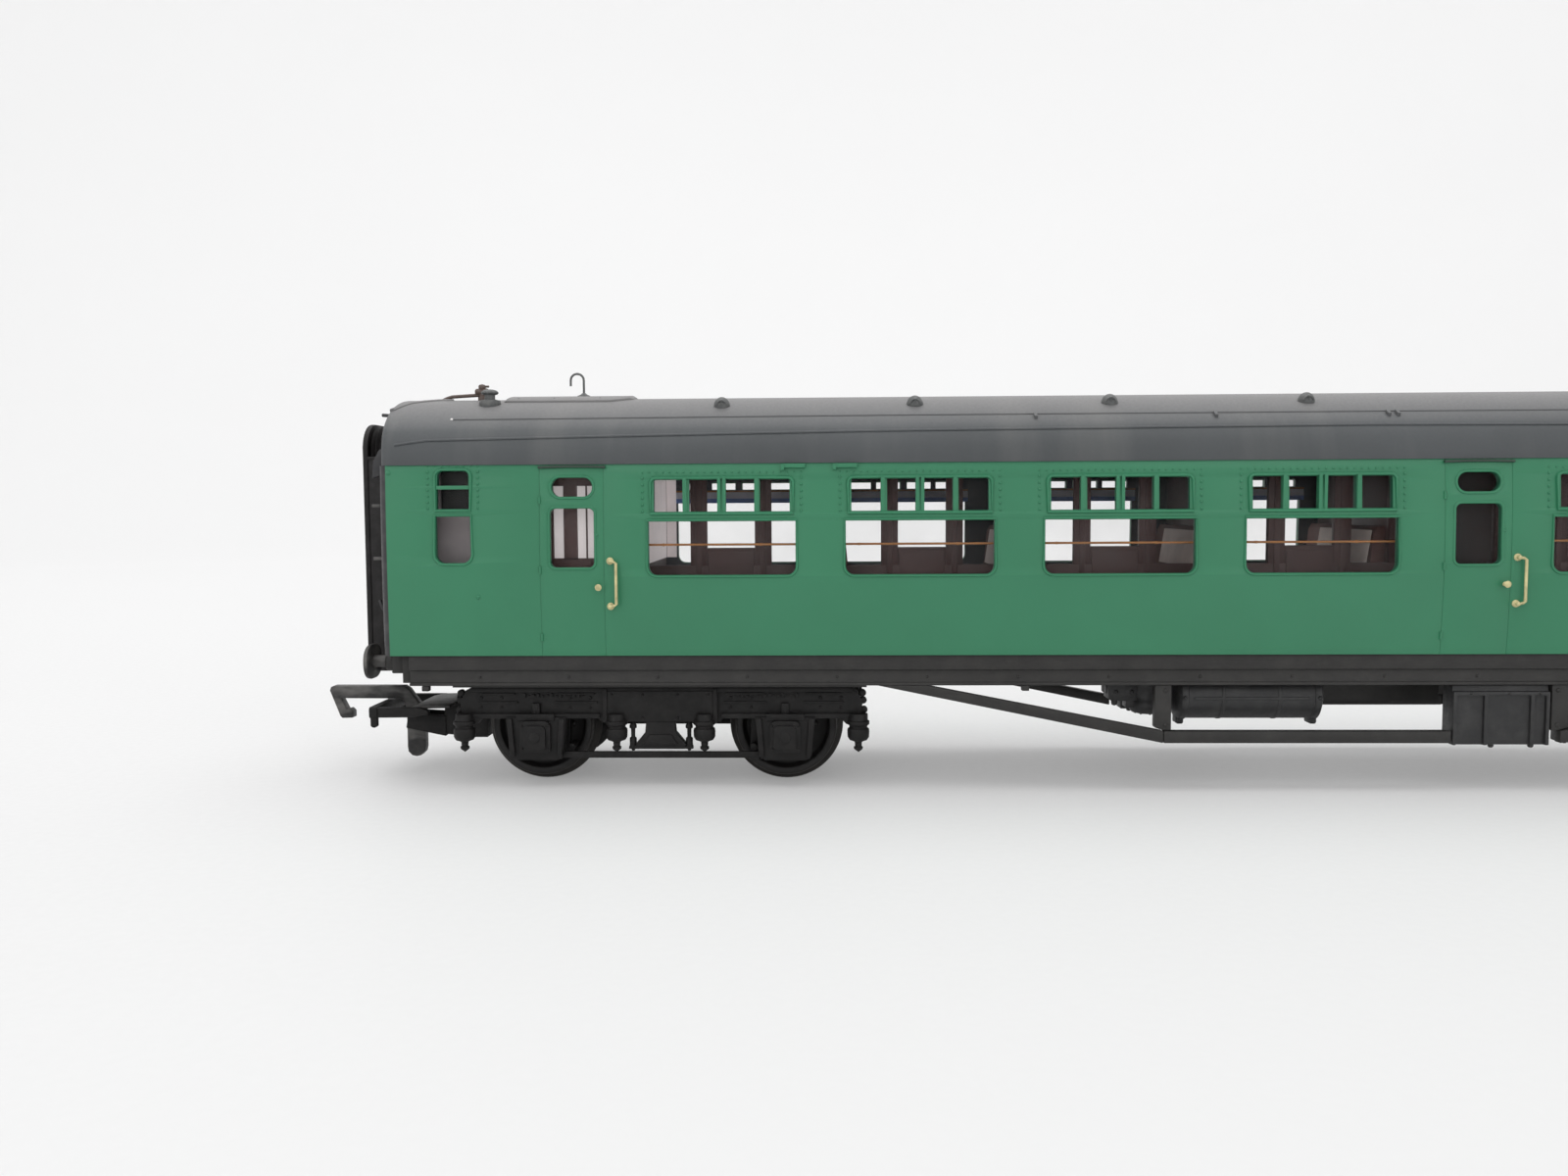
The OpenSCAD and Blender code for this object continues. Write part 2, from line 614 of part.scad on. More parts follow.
// Screw that holds a bogie: a plain shank to turn on and a thinner thread above it
module pivot_screws() color([0.6, 0.6, 0.62]) for (x = [-bogie_x, bogie_x]) {
  rod_z([x, 0, 9.65], 4.35, 1.55);
  rod_z([x, 0, 13.95], 4.3, 1.2);
  rod_z([x, 0, 8.9], 0.8, 2.8);
}

module axle(x) color([0.7, 0.7, 0.72]) translate([x, 0, axle_z]) both_sides() {
  rod_y([0, 0, 0], 11.6, axle_r);
  rod_y([0, 11.5, 0], 1.3, journal_r);
}

// Two solid wheels: flange inside, tread, and a dished web round the hub
module wheel_pair(x) color([0.16, 0.16, 0.16]) translate([x, 0, axle_z]) both_sides()
  translate([0, back_to_back / 2, 0]) rotate([-90, 0, 0]) rotate_extrude()
    polygon([[axle_r, 0], [flange_r - 0.35, 0], [flange_r, 0.3], [flange_r - 0.1, 0.6],
      [tread_r + 0.15, 0.85], [tread_r, 1.2], [tread_r - 0.05, wheel_w], [6, wheel_w],
      [5.7, 1.6], [2.4, 1.6], [2.1, wheel_w], [axle_r, wheel_w]]);

module at_left() translate([-bogie_x, 0, 0]) children();
module at_right() translate([bogie_x, 0, 0]) rotate([0, 0, 180]) children();

module bogie_frame_left() at_left() bogie_frame();
module bogie_frame_right() at_right() bogie_frame();
module bearing_cups_left() at_left() bearing_cups();
module bearing_cups_right() at_right() bearing_cups();
module coupling_left() at_left() coupling();
module coupling_right() at_right() coupling();
module hook_left() at_left() hook();
module hook_right() at_right() hook();
module hook_pin_left() at_left() hook_pin();
module hook_pin_right() at_right() hook_pin();
module axle_1() axle(-bogie_x - wheelbase / 2);
module axle_2() axle(-bogie_x + wheelbase / 2);
module axle_3() axle(bogie_x - wheelbase / 2);
module axle_4() axle(bogie_x + wheelbase / 2);
module wheels_1() wheel_pair(-bogie_x - wheelbase / 2);
module wheels_2() wheel_pair(-bogie_x + wheelbase / 2);
module wheels_3() wheel_pair(bogie_x - wheelbase / 2);
module wheels_4() wheel_pair(bogie_x + wheelbase / 2);

body_shell();
roof();
glazing_corridor_side();
glazing_compartment_side();
corridor_handrails();
interior_floor();
corridor_partition();
compartment_walls();
end_walls();
seats_first_class();
seats_second_class();
ballast_weight();
body_screws();
chassis_floor();
solebars();
headstocks();
truss_rods();
truss_posts();
reservoir_tank();
vacuum_cylinders();
battery_boxes();
brake_gear();
solebar_steps();
buffer_housings();
buffer_heads();
gangway_bellows_left();
gangway_bellows_right();
gangway_plate_left();
gangway_plate_right();
gangway_doors();
roof_vents();
mushroom_vents();
tank_cover_left();
tank_cover_right();
gooseneck_pipes();
filler_pipes();
rain_strips();
door_handles();
grab_handles();
end_steps();
lamp_brackets();
pivot_screws();
bogie_frame_left();
bogie_frame_right();
bearing_cups_left();
bearing_cups_right();
coupling_left();
coupling_right();
hook_left();
hook_right();
hook_pin_left();
hook_pin_right();
axle_1();
axle_2();
axle_3();
axle_4();
wheels_1();
wheels_2();
wheels_3();
wheels_4();
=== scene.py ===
"""Looks of the model passenger coach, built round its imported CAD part.

Sizes are in millimetres until a mesh is made. +X runs along the coach and -Y is its corridor side.
"""

import math

import bmesh
import bpy
from mathutils import Matrix, Vector


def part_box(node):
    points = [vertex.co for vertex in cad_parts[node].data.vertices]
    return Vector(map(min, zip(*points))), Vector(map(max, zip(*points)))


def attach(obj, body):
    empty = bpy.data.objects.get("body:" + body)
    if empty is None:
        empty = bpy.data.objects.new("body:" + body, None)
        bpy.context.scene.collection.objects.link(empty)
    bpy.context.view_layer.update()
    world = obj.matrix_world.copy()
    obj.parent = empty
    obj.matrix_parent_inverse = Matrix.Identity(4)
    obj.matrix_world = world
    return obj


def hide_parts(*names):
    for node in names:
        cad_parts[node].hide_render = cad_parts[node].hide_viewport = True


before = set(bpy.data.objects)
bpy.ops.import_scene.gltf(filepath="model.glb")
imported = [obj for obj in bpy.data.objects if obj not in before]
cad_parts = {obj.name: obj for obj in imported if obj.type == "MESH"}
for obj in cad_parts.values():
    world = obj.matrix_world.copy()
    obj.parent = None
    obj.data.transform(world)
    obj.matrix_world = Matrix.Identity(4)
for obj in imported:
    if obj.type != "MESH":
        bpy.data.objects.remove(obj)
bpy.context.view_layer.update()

MM = 0.001


def corners(node):
    """Lowest and highest corner of a CAD node, in millimetres."""
    low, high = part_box(node)
    return low / MM, high / MM


# ---- driving sizes, read from the frame where it holds them --------------------------------------

HALF_LEN, HALF_W, CANT_Z = corners("body_shell")[1]
BODY_LOW = corners("body_shell")[0].z
CROWN_Z = corners("roof")[1].z
ROOF_HALF = corners("roof")[1].y
WALL, END_WALL = 1.0, 1.6
SIDE_R, WAIST_Z = 134.0, 31.0  # curved body side
BOW_R = 80.0  # bowed ends in plan
CORNER_R = 1.4  # rounded upright corner of the body
HAUNCH_R = 6.5  # tight curve of the roof above the cantrail
ROOF_EDGE_R = 1.3  # rounding of the roof where it meets the end
DOOR_X, MID_DOOR_X = 103.9, 13.8
END_LIGHT_X = 119.75
WINDOW_HALF = 9.7
SILL_Z, LIGHT_TOP = 29.1, 42.0
NEAR_TRANSOM = (36.4, 37.45)
FAR_TRANSOM = (38.7, 40.55)
FIRST_X = [-84.1 + 26.0 * i for i in range(4)]
SECOND_X = [84.1 - 25.5 * i for i in range(3)]
WINDOWS_X = FIRST_X + SECOND_X
DOORS_X = [-DOOR_X, MID_DOOR_X, DOOR_X]
BOGIE_X, AXLE_OFFSET = 93.0, 17.0
POST_X = 25.5  # posts of the truss
BACK_Y = 7.25  # back of a wheel
BUFFER_Z = 17.2
AXLE_Z = (corners("axle_1")[0].z + corners("axle_1")[1].z) / 2
SIDES = (-1, 1)

ROOF_H = CROWN_Z - CANT_Z
ROOF_R = ((ROOF_HALF - HAUNCH_R) ** 2 + ROOF_H**2 - HAUNCH_R**2) / (2 * (ROOF_H - HAUNCH_R))
ROOF_CY = CROWN_Z - ROOF_R
TANGENT_Y = (ROOF_HALF - HAUNCH_R) * ROOF_R / (ROOF_R - HAUNCH_R)


def side_y(z):
    """Half width of the body's outside at height z."""
    return HALF_W - SIDE_R + math.sqrt(SIDE_R**2 - (z - WAIST_Z) ** 2)


def roof_z(y):
    """Height of the roof's outside at distance y from the middle."""
    y = abs(y)
    if y <= TANGENT_Y:
        return ROOF_CY + math.sqrt(ROOF_R**2 - y * y)
    return CANT_Z + math.sqrt(max(HAUNCH_R**2 - (y - ROOF_HALF + HAUNCH_R) ** 2, 0))


def roof_normal(y):
    """Outward direction of the roof's surface in the plane across the coach."""
    if abs(y) <= TANGENT_Y:
        direction = Vector((0, y, roof_z(y) - ROOF_CY))
    else:
        centre = math.copysign(ROOF_HALF - HAUNCH_R, y)
        direction = Vector((0, y - centre, roof_z(y) - CANT_Z))
    return direction.normalized()


def bow_x(y):
    """How far the bowed end stands back from the coach's tip at distance y from the middle."""
    return BOW_R - math.sqrt(BOW_R**2 - y * y)


# ---- materials -----------------------------------------------------------------------------------


def linear(colour):
    """An 8-bit screen colour as the linear colour that shaders take."""
    return tuple(
        (c / 255 / 12.92) if c / 255 <= 0.04045 else ((c / 255 + 0.055) / 1.055) ** 2.4 for c in colour
    )


def noise(tree, coordinates, scale, detail, stretch=(1, 1, 1)):
    """A noise texture in the piece's own coordinates, with features 1/scale of a metre wide."""
    mapping = tree.nodes.new("ShaderNodeMapping")
    mapping.inputs["Scale"].default_value = stretch
    texture = tree.nodes.new("ShaderNodeTexNoise")
    texture.inputs["Scale"].default_value = scale
    texture.inputs["Detail"].default_value = detail
    tree.links.new(coordinates, mapping.inputs["Vector"])
    tree.links.new(mapping.outputs["Vector"], texture.inputs["Vector"])
    return texture.outputs["Fac"]


def ramp(tree, source, stops):
    """A colour ramp: stops are (position, linear colour)."""
    node = tree.nodes.new("ShaderNodeValToRGB")
    elements = node.color_ramp.elements
    while len(elements) < len(stops):
        elements.new(0.5)
    for element, (at, colour) in zip(elements, stops):
        element.position = at
        element.color = (*colour, 1)
    tree.links.new(source, node.inputs["Fac"])
    return node.outputs["Color"]


def remap(tree, source, low, high, start=0.3, end=0.7):
    """Source scaled from start..end to low..high."""
    node = tree.nodes.new("ShaderNodeMapRange")
    for name, value in (("From Min", start), ("From Max", end), ("To Min", low), ("To Max", high)):
        node.inputs[name].default_value = value
    tree.links.new(source, node.inputs["Value"])
    return node.outputs["Result"]


def mix(tree, share, first, second):
    """Colours first and second mixed by share."""
    node = tree.nodes.new("ShaderNodeMix")
    node.data_type = "RGBA"
    tree.links.new(share, node.inputs["Factor"])
    for value, socket in ((first, node.inputs["A"]), (second, node.inputs["B"])):
        if isinstance(value, tuple):
            socket.default_value = (*value, 1)
        else:
            tree.links.new(value, socket)
    return node.outputs["Result"]


def paint(name, colour, rough=0.5, vary=0.12, patch=90, grain=2600, bump=0.03, specular=0.5,
          metallic=0.0, dust=None, dust_share=0.25, extra=None):
    """A painted or moulded surface: patchy tone, fine grain in gloss and relief, and patches of dust."""
    made = bpy.data.materials.new(name)
    made.use_nodes = True
    tree = made.node_tree
    shader = tree.nodes["Principled BSDF"]
    coordinates = tree.nodes.new("ShaderNodeTexCoord").outputs["Object"]
    base = linear(colour)
    dark, light = (tuple(c * k for c in base) for k in (1 - vary, 1 + vary))
    shade = ramp(tree, noise(tree, coordinates, patch, 4), [(0.3, dark), (0.5, base), (0.7, light)])
    if dust:
        patches = remap(tree, noise(tree, coordinates, patch * 3.1, 6), 0, dust_share, 0.45, 0.75)
        shade = mix(tree, patches, shade, linear(dust))
    if extra:
        shade = extra(tree, coordinates, shade)
    tree.links.new(shade, shader.inputs["Base Color"])
    fine = noise(tree, coordinates, grain, 3)
    tree.links.new(remap(tree, fine, rough - 0.07, rough + 0.07), shader.inputs["Roughness"])
    relief = tree.nodes.new("ShaderNodeBump")
    relief.inputs["Strength"].default_value = bump
    relief.inputs["Distance"].default_value = 0.05 * MM
    tree.links.new(fine, relief.inputs["Height"])
    tree.links.new(relief.outputs["Normal"], shader.inputs["Normal"])
    shader.inputs["Specular IOR Level"].default_value = specular
    shader.inputs["Metallic"].default_value = metallic
    return made


def height_band(tree, coordinates, low, high):
    """0 below the height low and 1 above high, in millimetres."""
    split = tree.nodes.new("ShaderNodeSeparateXYZ")
    tree.links.new(coordinates, split.inputs["Vector"])
    return remap(tree, split.outputs["Z"], 0, 1, low * MM, high * MM)


def painted_crown_light(tree, coordinates, shade):
    """The roof is painted paler towards its crown, a painted highlight where the light from above falls, with
    faint dust streaks across it.
    """
    crown = height_band(tree, coordinates, 48.5, CROWN_Z)
    # Painted highlight: the crown is mixed towards a pale grey that stands for the light falling on it from
    # above.
    lit_crown = mix(tree, crown, shade, linear(ROOF_PAINTED_LIGHT))
    streaks = remap(tree, noise(tree, coordinates, 160, 5, (1, 0.15, 0.15)), 0, 0.12, 0.5, 0.8)
    return mix(tree, streaks, lit_crown, linear(DUST))


def worn_edges(tree, coordinates, shade):
    """Scuffed grey plastic that shows through the black."""
    scuffs = remap(tree, noise(tree, coordinates, 420, 6, (0.4, 1, 1)), 0, 0.75, 0.42, 0.66)
    return mix(tree, scuffs, shade, linear(SCUFF))


GREEN = (49, 119, 86)
# ROOF_PAINTED_LIGHT is the pale grey of the painted highlight on the roof's crown.
ROOF_GREY, ROOF_PAINTED_LIGHT = (71, 74, 76), (128, 127, 127)
DUST, SCUFF = (150, 148, 143), (112, 110, 107)
BLACK, BOGIE = (43, 42, 41), (22, 21, 21)
MAROON = (74, 44, 42)

M = {
    "body_green": paint("green_enamel", GREEN, 0.42, 0.05, 60, 3200, 0.035, 0.42),
    # The sides of the window openings are painted darker than the body's green: painted shade in the
    # recesses.
    "shaded_reveal": paint("painted_shade_green", (34, 92, 68), 0.5, 0.08, 200),
    "end_black": paint("end_black", (38, 38, 41), 0.45, 0.15, 150, dust=DUST, dust_share=0.1),
    "inner_wall": paint("inner_wall", (60, 64, 74), 0.55, 0.1, 150),
    "roof_grey": paint("roof_grey", ROOF_GREY, 0.55, 0.07, 70, 2600, 0.05, 0.35, extra=painted_crown_light),
    "fittings": paint("roof_fittings", (86, 88, 88), 0.5, 0.15, 400, dust=DUST, dust_share=0.2),
    "pipe": paint("pipe_brown", (84, 70, 64), 0.5, 0.2, 500),
    "gangway": paint("gangway_rubber", (25, 23, 23), 0.55, 0.15, 200, specular=0.3,
                     dust=(70, 67, 68), dust_share=0.25),
    "underframe": paint("underframe_black", BLACK, 0.52, 0.14, 120, specular=0.35,
                        dust=(78, 76, 72), dust_share=0.16),
    "tank": paint("tank_black", (35, 35, 36), 0.5, 0.12, 150, dust=(84, 83, 82), dust_share=0.2),
    "bogie": paint("bogie_black", BOGIE, 0.55, 0.16, 200, 3000, 0.08, 0.25,
                   dust=(64, 62, 60), dust_share=0.15),
    "worn": paint("worn_plastic", BOGIE, 0.5, 0.15, 200, dust=(96, 94, 92), extra=worn_edges),
    "wheel": paint("wheel_dark", (25, 24, 24), 0.45, 0.12, 250, specular=0.3,
                   dust=(60, 57, 54), dust_share=0.12),
    "tread": paint("wheel_tread", (40, 38, 36), 0.45, 0.25, 300, 2200, 0.05, 0.3, 0.3),
    "axle": paint("axle_steel", (168, 168, 170), 0.3, 0.12, 500, metallic=0.9),
    "steel": paint("steel", (128, 128, 130), 0.36, 0.12, 400, metallic=0.9),
    "brass": paint("bearing_brass", (170, 140, 84), 0.35, 0.15, 400, metallic=0.85),
    "gold": paint("pale_gold", (196, 186, 138), 0.4, 0.24, 900, 3000, 0.05, 0.5, 0.15),
    "strip": paint("strip_dark", (38, 56, 46), 0.5, 0.1, 300),
    "maroon": paint("interior_maroon", MAROON, 0.5, 0.14, 120, dust=(92, 70, 66), dust_share=0.18),
    "frosted": paint("interior_grey", (168, 158, 160), 0.6, 0.12, 200),
    "seat_first": paint("seat_first", (98, 58, 52), 0.75, 0.15, 500, 5200, 0.25),
    "seat_second": paint("seat_second", (82, 55, 56), 0.75, 0.15, 500, 5200, 0.25),
    "cloth": paint("seat_cloth", (226, 210, 202), 0.75, 0.1, 300, 5200, 0.2),
    "rail": paint("rail_orange", (158, 104, 52), 0.42, 0.15, 600),
    "blue": paint("band_blue", (112, 146, 214), 0.5, 0.12, 300),
    "band": paint("band_grey", (216, 220, 232), 0.5, 0.1, 300),
    "bare": paint("bare_white", (232, 228, 226), 0.6, 0.06, 900),
}


def clear_plastic():
    """Clear glazing: thin, slightly grey, with faint ripples in its gloss."""
    made = bpy.data.materials.new("clear_glazing")
    made.use_nodes = True
    tree = made.node_tree
    shader = tree.nodes["Principled BSDF"]
    coordinates = tree.nodes.new("ShaderNodeTexCoord").outputs["Object"]
    smear = noise(tree, coordinates, 140, 3)
    tree.links.new(remap(tree, smear, 0.03, 0.06), shader.inputs["Alpha"])
    tree.links.new(remap(tree, smear, 0.05, 0.14), shader.inputs["Roughness"])
    tree.links.new(ramp(tree, smear, [(0.3, (0.12, 0.12, 0.12)), (0.7, (0.2, 0.2, 0.2))]),
                   shader.inputs["Base Color"])
    return made


M["clear"] = clear_plastic()
# The frosted panels glow with a weak emission: painted light that stands in for light coming through them
# from behind.
M["frost"] = paint("frosted_panel_painted_glow", (226, 218, 218), 0.6, 0.06, 400)
frost = M["frost"].node_tree.nodes["Principled BSDF"].inputs
frost["Emission Color"].default_value = (*linear((226, 216, 216)), 1)
frost["Emission Strength"].default_value = 0.3


# ---- mesh building -------------------------------------------------------------------------------


def disc(r, steps):
    """Points round a circle, the section of a round bar."""
    angles = [2 * math.pi * i / steps for i in range(steps)]
    return [(r * math.cos(a), r * math.sin(a)) for a in angles]


def across(side, first, second):
    """Two distances from the coach's middle on one side of it, as rising Y."""
    return sorted((side * first, side * second))


def rounded(low, high, radii, steps=6):
    """An outline with radii at its lower left, lower right, upper right and upper left."""
    (x0, z0), (x1, z1) = low, high
    centres = [(x0, z0, 1, 1, 180), (x1, z0, -1, 1, 270), (x1, z1, -1, -1, 0), (x0, z1, 1, -1, 90)]
    points = []
    for (x, z, sx, sz, start), r in zip(centres, radii):
        if r <= 0:
            points.append((x, z))
            continue
        for i in range(steps + 1):
            a = math.radians(start + 90 * i / steps)
            points.append((x + sx * r + r * math.cos(a), z + sz * r + r * math.sin(a)))
    return points


class Shape:
    """Closed forms gathered in one mesh, each with the index of its material."""

    def __init__(self):
        self.points, self.faces, self.marks = [], [], []

    def add(self, points, faces, mark=0):
        start = len(self.points)
        self.points += [Vector(p) for p in points]
        self.faces += [tuple(start + i for i in face) for face in faces]
        self.marks += list(mark) if isinstance(mark, list) else [mark] * len(faces)
        return self

    def rows(self, rows, mark=0, closed=True, ends=True):
        """A skin over rows of equally many points. Each row is a closed ring unless closed is False."""
        n = len(rows[0])
        faces = []
        for r in range(len(rows) - 1):
            for i in range(n if closed else n - 1):
                j = (i + 1) % n
                faces.append((r * n + i, r * n + j, (r + 1) * n + j, (r + 1) * n + i))
        if ends:
            faces.append(tuple(range(n))[::-1])
            faces.append(tuple((len(rows) - 1) * n + i for i in range(n)))
        return self.add([p for row in rows for p in row], faces, mark)

    def prism(self, outline, axis, low, high, mark=0):
        """An outline pushed along an axis: x takes (y, z), y takes (x, z) and z takes (x, y)."""
        place = {
            "x": lambda a, b, t: (t, a, b),
            "y": lambda a, b, t: (a, t, b),
            "z": lambda a, b, t: (a, b, t),
        }[axis]
        return self.rows([[place(a, b, t) for a, b in outline] for t in (low, high)], mark)

    def box(self, low, high, mark=0):
        return self.prism(rounded(low[:2], high[:2], (0,) * 4), "z", low[2], high[2], mark)

    def lathe(self, profile, at, axis, mark=0, steps=48):
        """A turned form: profile is (distance along the axis, radius) from end to end."""
        rings = []
        for along, r in profile:
            ring = []
            for i in range(steps):
                a = 2 * math.pi * i / steps
                u, v = max(r, 1e-3) * math.cos(a), max(r, 1e-3) * math.sin(a)
                ring.append({"x": (along, u, v), "y": (u, along, v), "z": (u, v, along)}[axis])
            rings.append([Vector(p) + Vector(at) for p in ring])
        return self.rows(rings, mark)

    def sweep(self, path, section, up, mark=0, closed=False):
        """A section of (side, up) points carried along a path. up is a direction, or one for each point."""
        path = [Vector(p) for p in path]
        rings = []
        for i, p in enumerate(path):
            before = path[i - 1] if (i or closed) else p
            after = path[(i + 1) % len(path)] if (i < len(path) - 1 or closed) else p
            along = (after - before).normalized()
            raised = Vector(up[i] if isinstance(up, list) else up)
            raised = (raised - along * raised.dot(along)).normalized()
            sideways = along.cross(raised)
            rings.append([p + sideways * a + raised * b for a, b in section])
        if closed:
            n, k = len(section), len(rings)
            faces = [
                (r * n + i, r * n + (i + 1) % n, (r + 1) % k * n + (i + 1) % n, (r + 1) % k * n + i)
                for r in range(k)
                for i in range(n)
            ]
            return self.add([p for ring in rings for p in ring], faces, mark)
        return self.rows(rings, mark)

    def tube(self, path, r, mark=0, steps=12):
        """A round bar along a path that doesn't run along the reference direction."""
        span = Vector(path[-1]) - Vector(path[0])
        up = (0, 0, 1) if abs(span.normalized().z) < 0.8 else (0, 1, 0)
        return self.sweep(path, disc(r, steps), up, mark)

    def dome(self, at, out, r, height, mark=0, steps=10):
        """A round-headed rivet or knob that stands on a surface with the outward direction out."""
        turn = Vector((0, 0, 1)).rotation_difference(Vector(out)).to_matrix()
        rings = []
        for k in (-0.5, 0.0, 0.5, 0.85, 1.0):
            ring_r = r * math.sqrt(max(1 - max(k, 0) ** 2, 0.0)) if k < 1 else r * 0.05
            ring = []
            for i in range(steps):
                a = 2 * math.pi * i / steps
                point = Vector((ring_r * math.cos(a), ring_r * math.sin(a), height * k))
                ring.append(turn @ point + Vector(at))
            rings.append(ring)
        return self.rows(rings, mark)

    def join(self, other, move=None):
        """Adds another shape, moved by a matrix."""
        points = [move @ p for p in other.points] if move else other.points
        return self.add(points, other.faces, list(other.marks))

    def mirror_y(self):
        """Adds this shape's mirror image across the coach's middle."""
        return self.join(Shape().join(self), Matrix.Scale(-1, 4, (0, 1, 0)))

    def both_ends(self):
        """Adds this shape turned half round, for the coach's other end."""
        return self.join(Shape().join(self), HALF_TURN)

    def mesh(self, name, materials):
        """The shape as a Blender object, in metres, with its faces turned outwards."""
        data = bpy.data.meshes.new(name)
        data.from_pydata([p * MM for p in self.points], [], self.faces)
        for material in materials:
            data.materials.append(M[material])
        data.polygons.foreach_set("material_index", self.marks)
        work = bmesh.new()
        work.from_mesh(data)
        bmesh.ops.recalc_face_normals(work, faces=work.faces)
        work.to_mesh(data)
        work.free()
        made = bpy.data.objects.new(name, data)
        bpy.context.scene.collection.objects.link(made)
        return made


def at(x=0, y=0, z=0, turn=0):
    """A move in millimetres, after a turn about the upright axis in degrees."""
    return Matrix.Translation((x, y, z)) @ Matrix.Rotation(math.radians(turn), 4, "Z")


HALF_TURN = at(turn=180)


def soften(made, width=0.0, angle=38, segments=2):
    """Rounded edges of the given width in millimetres, and smooth shading up to an angle."""
    if width:
        bevel = made.modifiers.new("bevel", "BEVEL")
        bevel.width = width * MM
        bevel.segments = segments
        bevel.limit_method = "ANGLE"
        bevel.angle_limit = math.radians(angle)
        bevel.miter_outer = "MITER_ARC"
    smooth = made.modifiers.new("smooth", "NODES")
    smooth.node_group = smoothing(angle)
    return made


def smoothing(angle):
    """A node group that shades smooth except across edges sharper than the angle."""
    name = f"smooth_by_{angle}"
    if name in bpy.data.node_groups:
        return bpy.data.node_groups[name]
    group = bpy.data.node_groups.new(name, "GeometryNodeTree")
    for way in ("INPUT", "OUTPUT"):
        group.interface.new_socket("Geometry", in_out=way, socket_type="NodeSocketGeometry")
    nodes, links = group.nodes, group.links
    source, result = nodes.new("NodeGroupInput"), nodes.new("NodeGroupOutput")
    faces, edges = nodes.new("GeometryNodeSetShadeSmooth"), nodes.new("GeometryNodeSetShadeSmooth")
    faces.domain, edges.domain = "FACE", "EDGE"
    faces.inputs["Shade Smooth"].default_value = True
    edges.inputs["Shade Smooth"].default_value = False
    bend, sharper = nodes.new("GeometryNodeInputMeshEdgeAngle"), nodes.new("FunctionNodeCompare")
    sharper.data_type, sharper.operation = "FLOAT", "GREATER_THAN"
    sharper.inputs[1].default_value = math.radians(angle)
    links.new(bend.outputs["Unsigned Angle"], sharper.inputs[0])
    links.new(source.outputs[0], faces.inputs["Geometry"])
    links.new(faces.outputs[0], edges.inputs["Geometry"])
    links.new(sharper.outputs[0], edges.inputs["Selection"])
    links.new(edges.outputs[0], result.inputs[0])
    return group


def piece(shape, name, materials, body, slot=None, replaces=(), width=0.0, angle=38):
    """A finished piece of the coach that rides on a body and stands for CAD nodes."""
    materials = [materials] if isinstance(materials, str) else materials
    made = soften(shape.mesh(name, materials), width, angle)
    return settle(made, body, slot, replaces)


def settle(made, body, slot, replaces):
    """Hides the CAD nodes that a finished piece replaces and hangs it on the body that carries it. Its slot
    is not used.
    """
    if replaces:
        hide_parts(*replaces)
    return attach(made, body)


def dress(nodes, material, width=0.0, angle=38):
    """Gives CAD nodes that stay their material and rounded edges. Their meshes aren't changed."""
    for name in nodes:
        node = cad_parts[name]
        node.data.materials.clear()
        node.data.materials.append(M[material])
        weld = node.modifiers.new("weld", "WELD")
        weld.merge_threshold = 1e-6
        soften(node, width, angle)


# ---- body ----------------------------------------------------------------------------------------


def plan(half_w, inset, fillet, bow_steps=22, fillet_steps=6):
    """Plan outline of the body with bowed ends and rounded corners, and the part that each point begins."""
    centre = HALF_LEN - BOW_R
    r = BOW_R - inset
    y_f = half_w - fillet
    x_f = centre + math.sqrt((r - fillet) ** 2 - y_f**2)
    lean = math.atan2(y_f, x_f - centre)
    quarter = []  # from the end of the -Y side, round the +X end, to the start of the +Y side
    for i in range(fillet_steps + 1):
        a = -math.pi / 2 + (math.pi / 2 - lean) * i / fillet_steps
        quarter.append((x_f + fillet * math.cos(a), -y_f + fillet * math.sin(a), "corner"))
    for i in range(1, bow_steps + 1):
        a = -lean + 2 * lean * i / bow_steps
        quarter.append((centre + r * math.cos(a), r * math.sin(a), "end"))
    for i in range(1, fillet_steps + 1):
        a = lean + (math.pi / 2 - lean) * i / fillet_steps
        quarter.append((x_f + fillet * math.cos(a), y_f + fillet * math.sin(a), "corner"))
    return quarter + [(-x, -y, part) for x, y, part in quarter]


def window_outlines(x, transom):
    """Outlines of the lights of one large window: a deep lower light and four panes above it."""
    low, high = transom
    yield rounded((x - WINDOW_HALF, SILL_Z), (x + WINDOW_HALF, low), (1.3, 1.3, 0, 0))
    upper, bar = WINDOW_HALF - 0.75, 0.75
    pane = (2 * upper - 3 * bar) / 4
    for i in range(4):
        left = x - upper + i * (pane + bar)
        outer = (0, 0, 0.5 if i == 3 else 0, 0.5 if i == 0 else 0)
        yield rounded((left, high), (left + pane, LIGHT_TOP), outer)


def door_outlines(x):
    yield rounded((x - 2.7, 39.6), (x + 2.7, 42.2), (1.25,) * 4)
    yield rounded((x - 2.95, 30.3), (x + 2.95, 38.1), (0.8,) * 4)


def end_outlines(x):
    yield rounded((x - 2.35, 30.9), (x + 2.35, 37.1), (1.2, 1.2, 0, 0))
    yield rounded((x - 2.2, 38.1), (x + 2.2, 40.7), (0,) * 4)
    yield rounded((x - 2.1, 41.2), (x + 2.1, 43.2), (0, 0, 0.8, 0.8))


def lights(side):
    """Every window outline of one side."""
    transom = NEAR_TRANSOM if side < 0 else FAR_TRANSOM
    for x in WINDOWS_X:
        yield from window_outlines(x, transom)
    for x in DOORS_X:
        yield from door_outlines(x)
    for x in (-END_LIGHT_X, END_LIGHT_X):
        yield from end_outlines(x)


def on_side(x, z, side, out=0.0):
    """A point on the body side, moved out of it."""
    return (x, side * (side_y(z) + out), z)


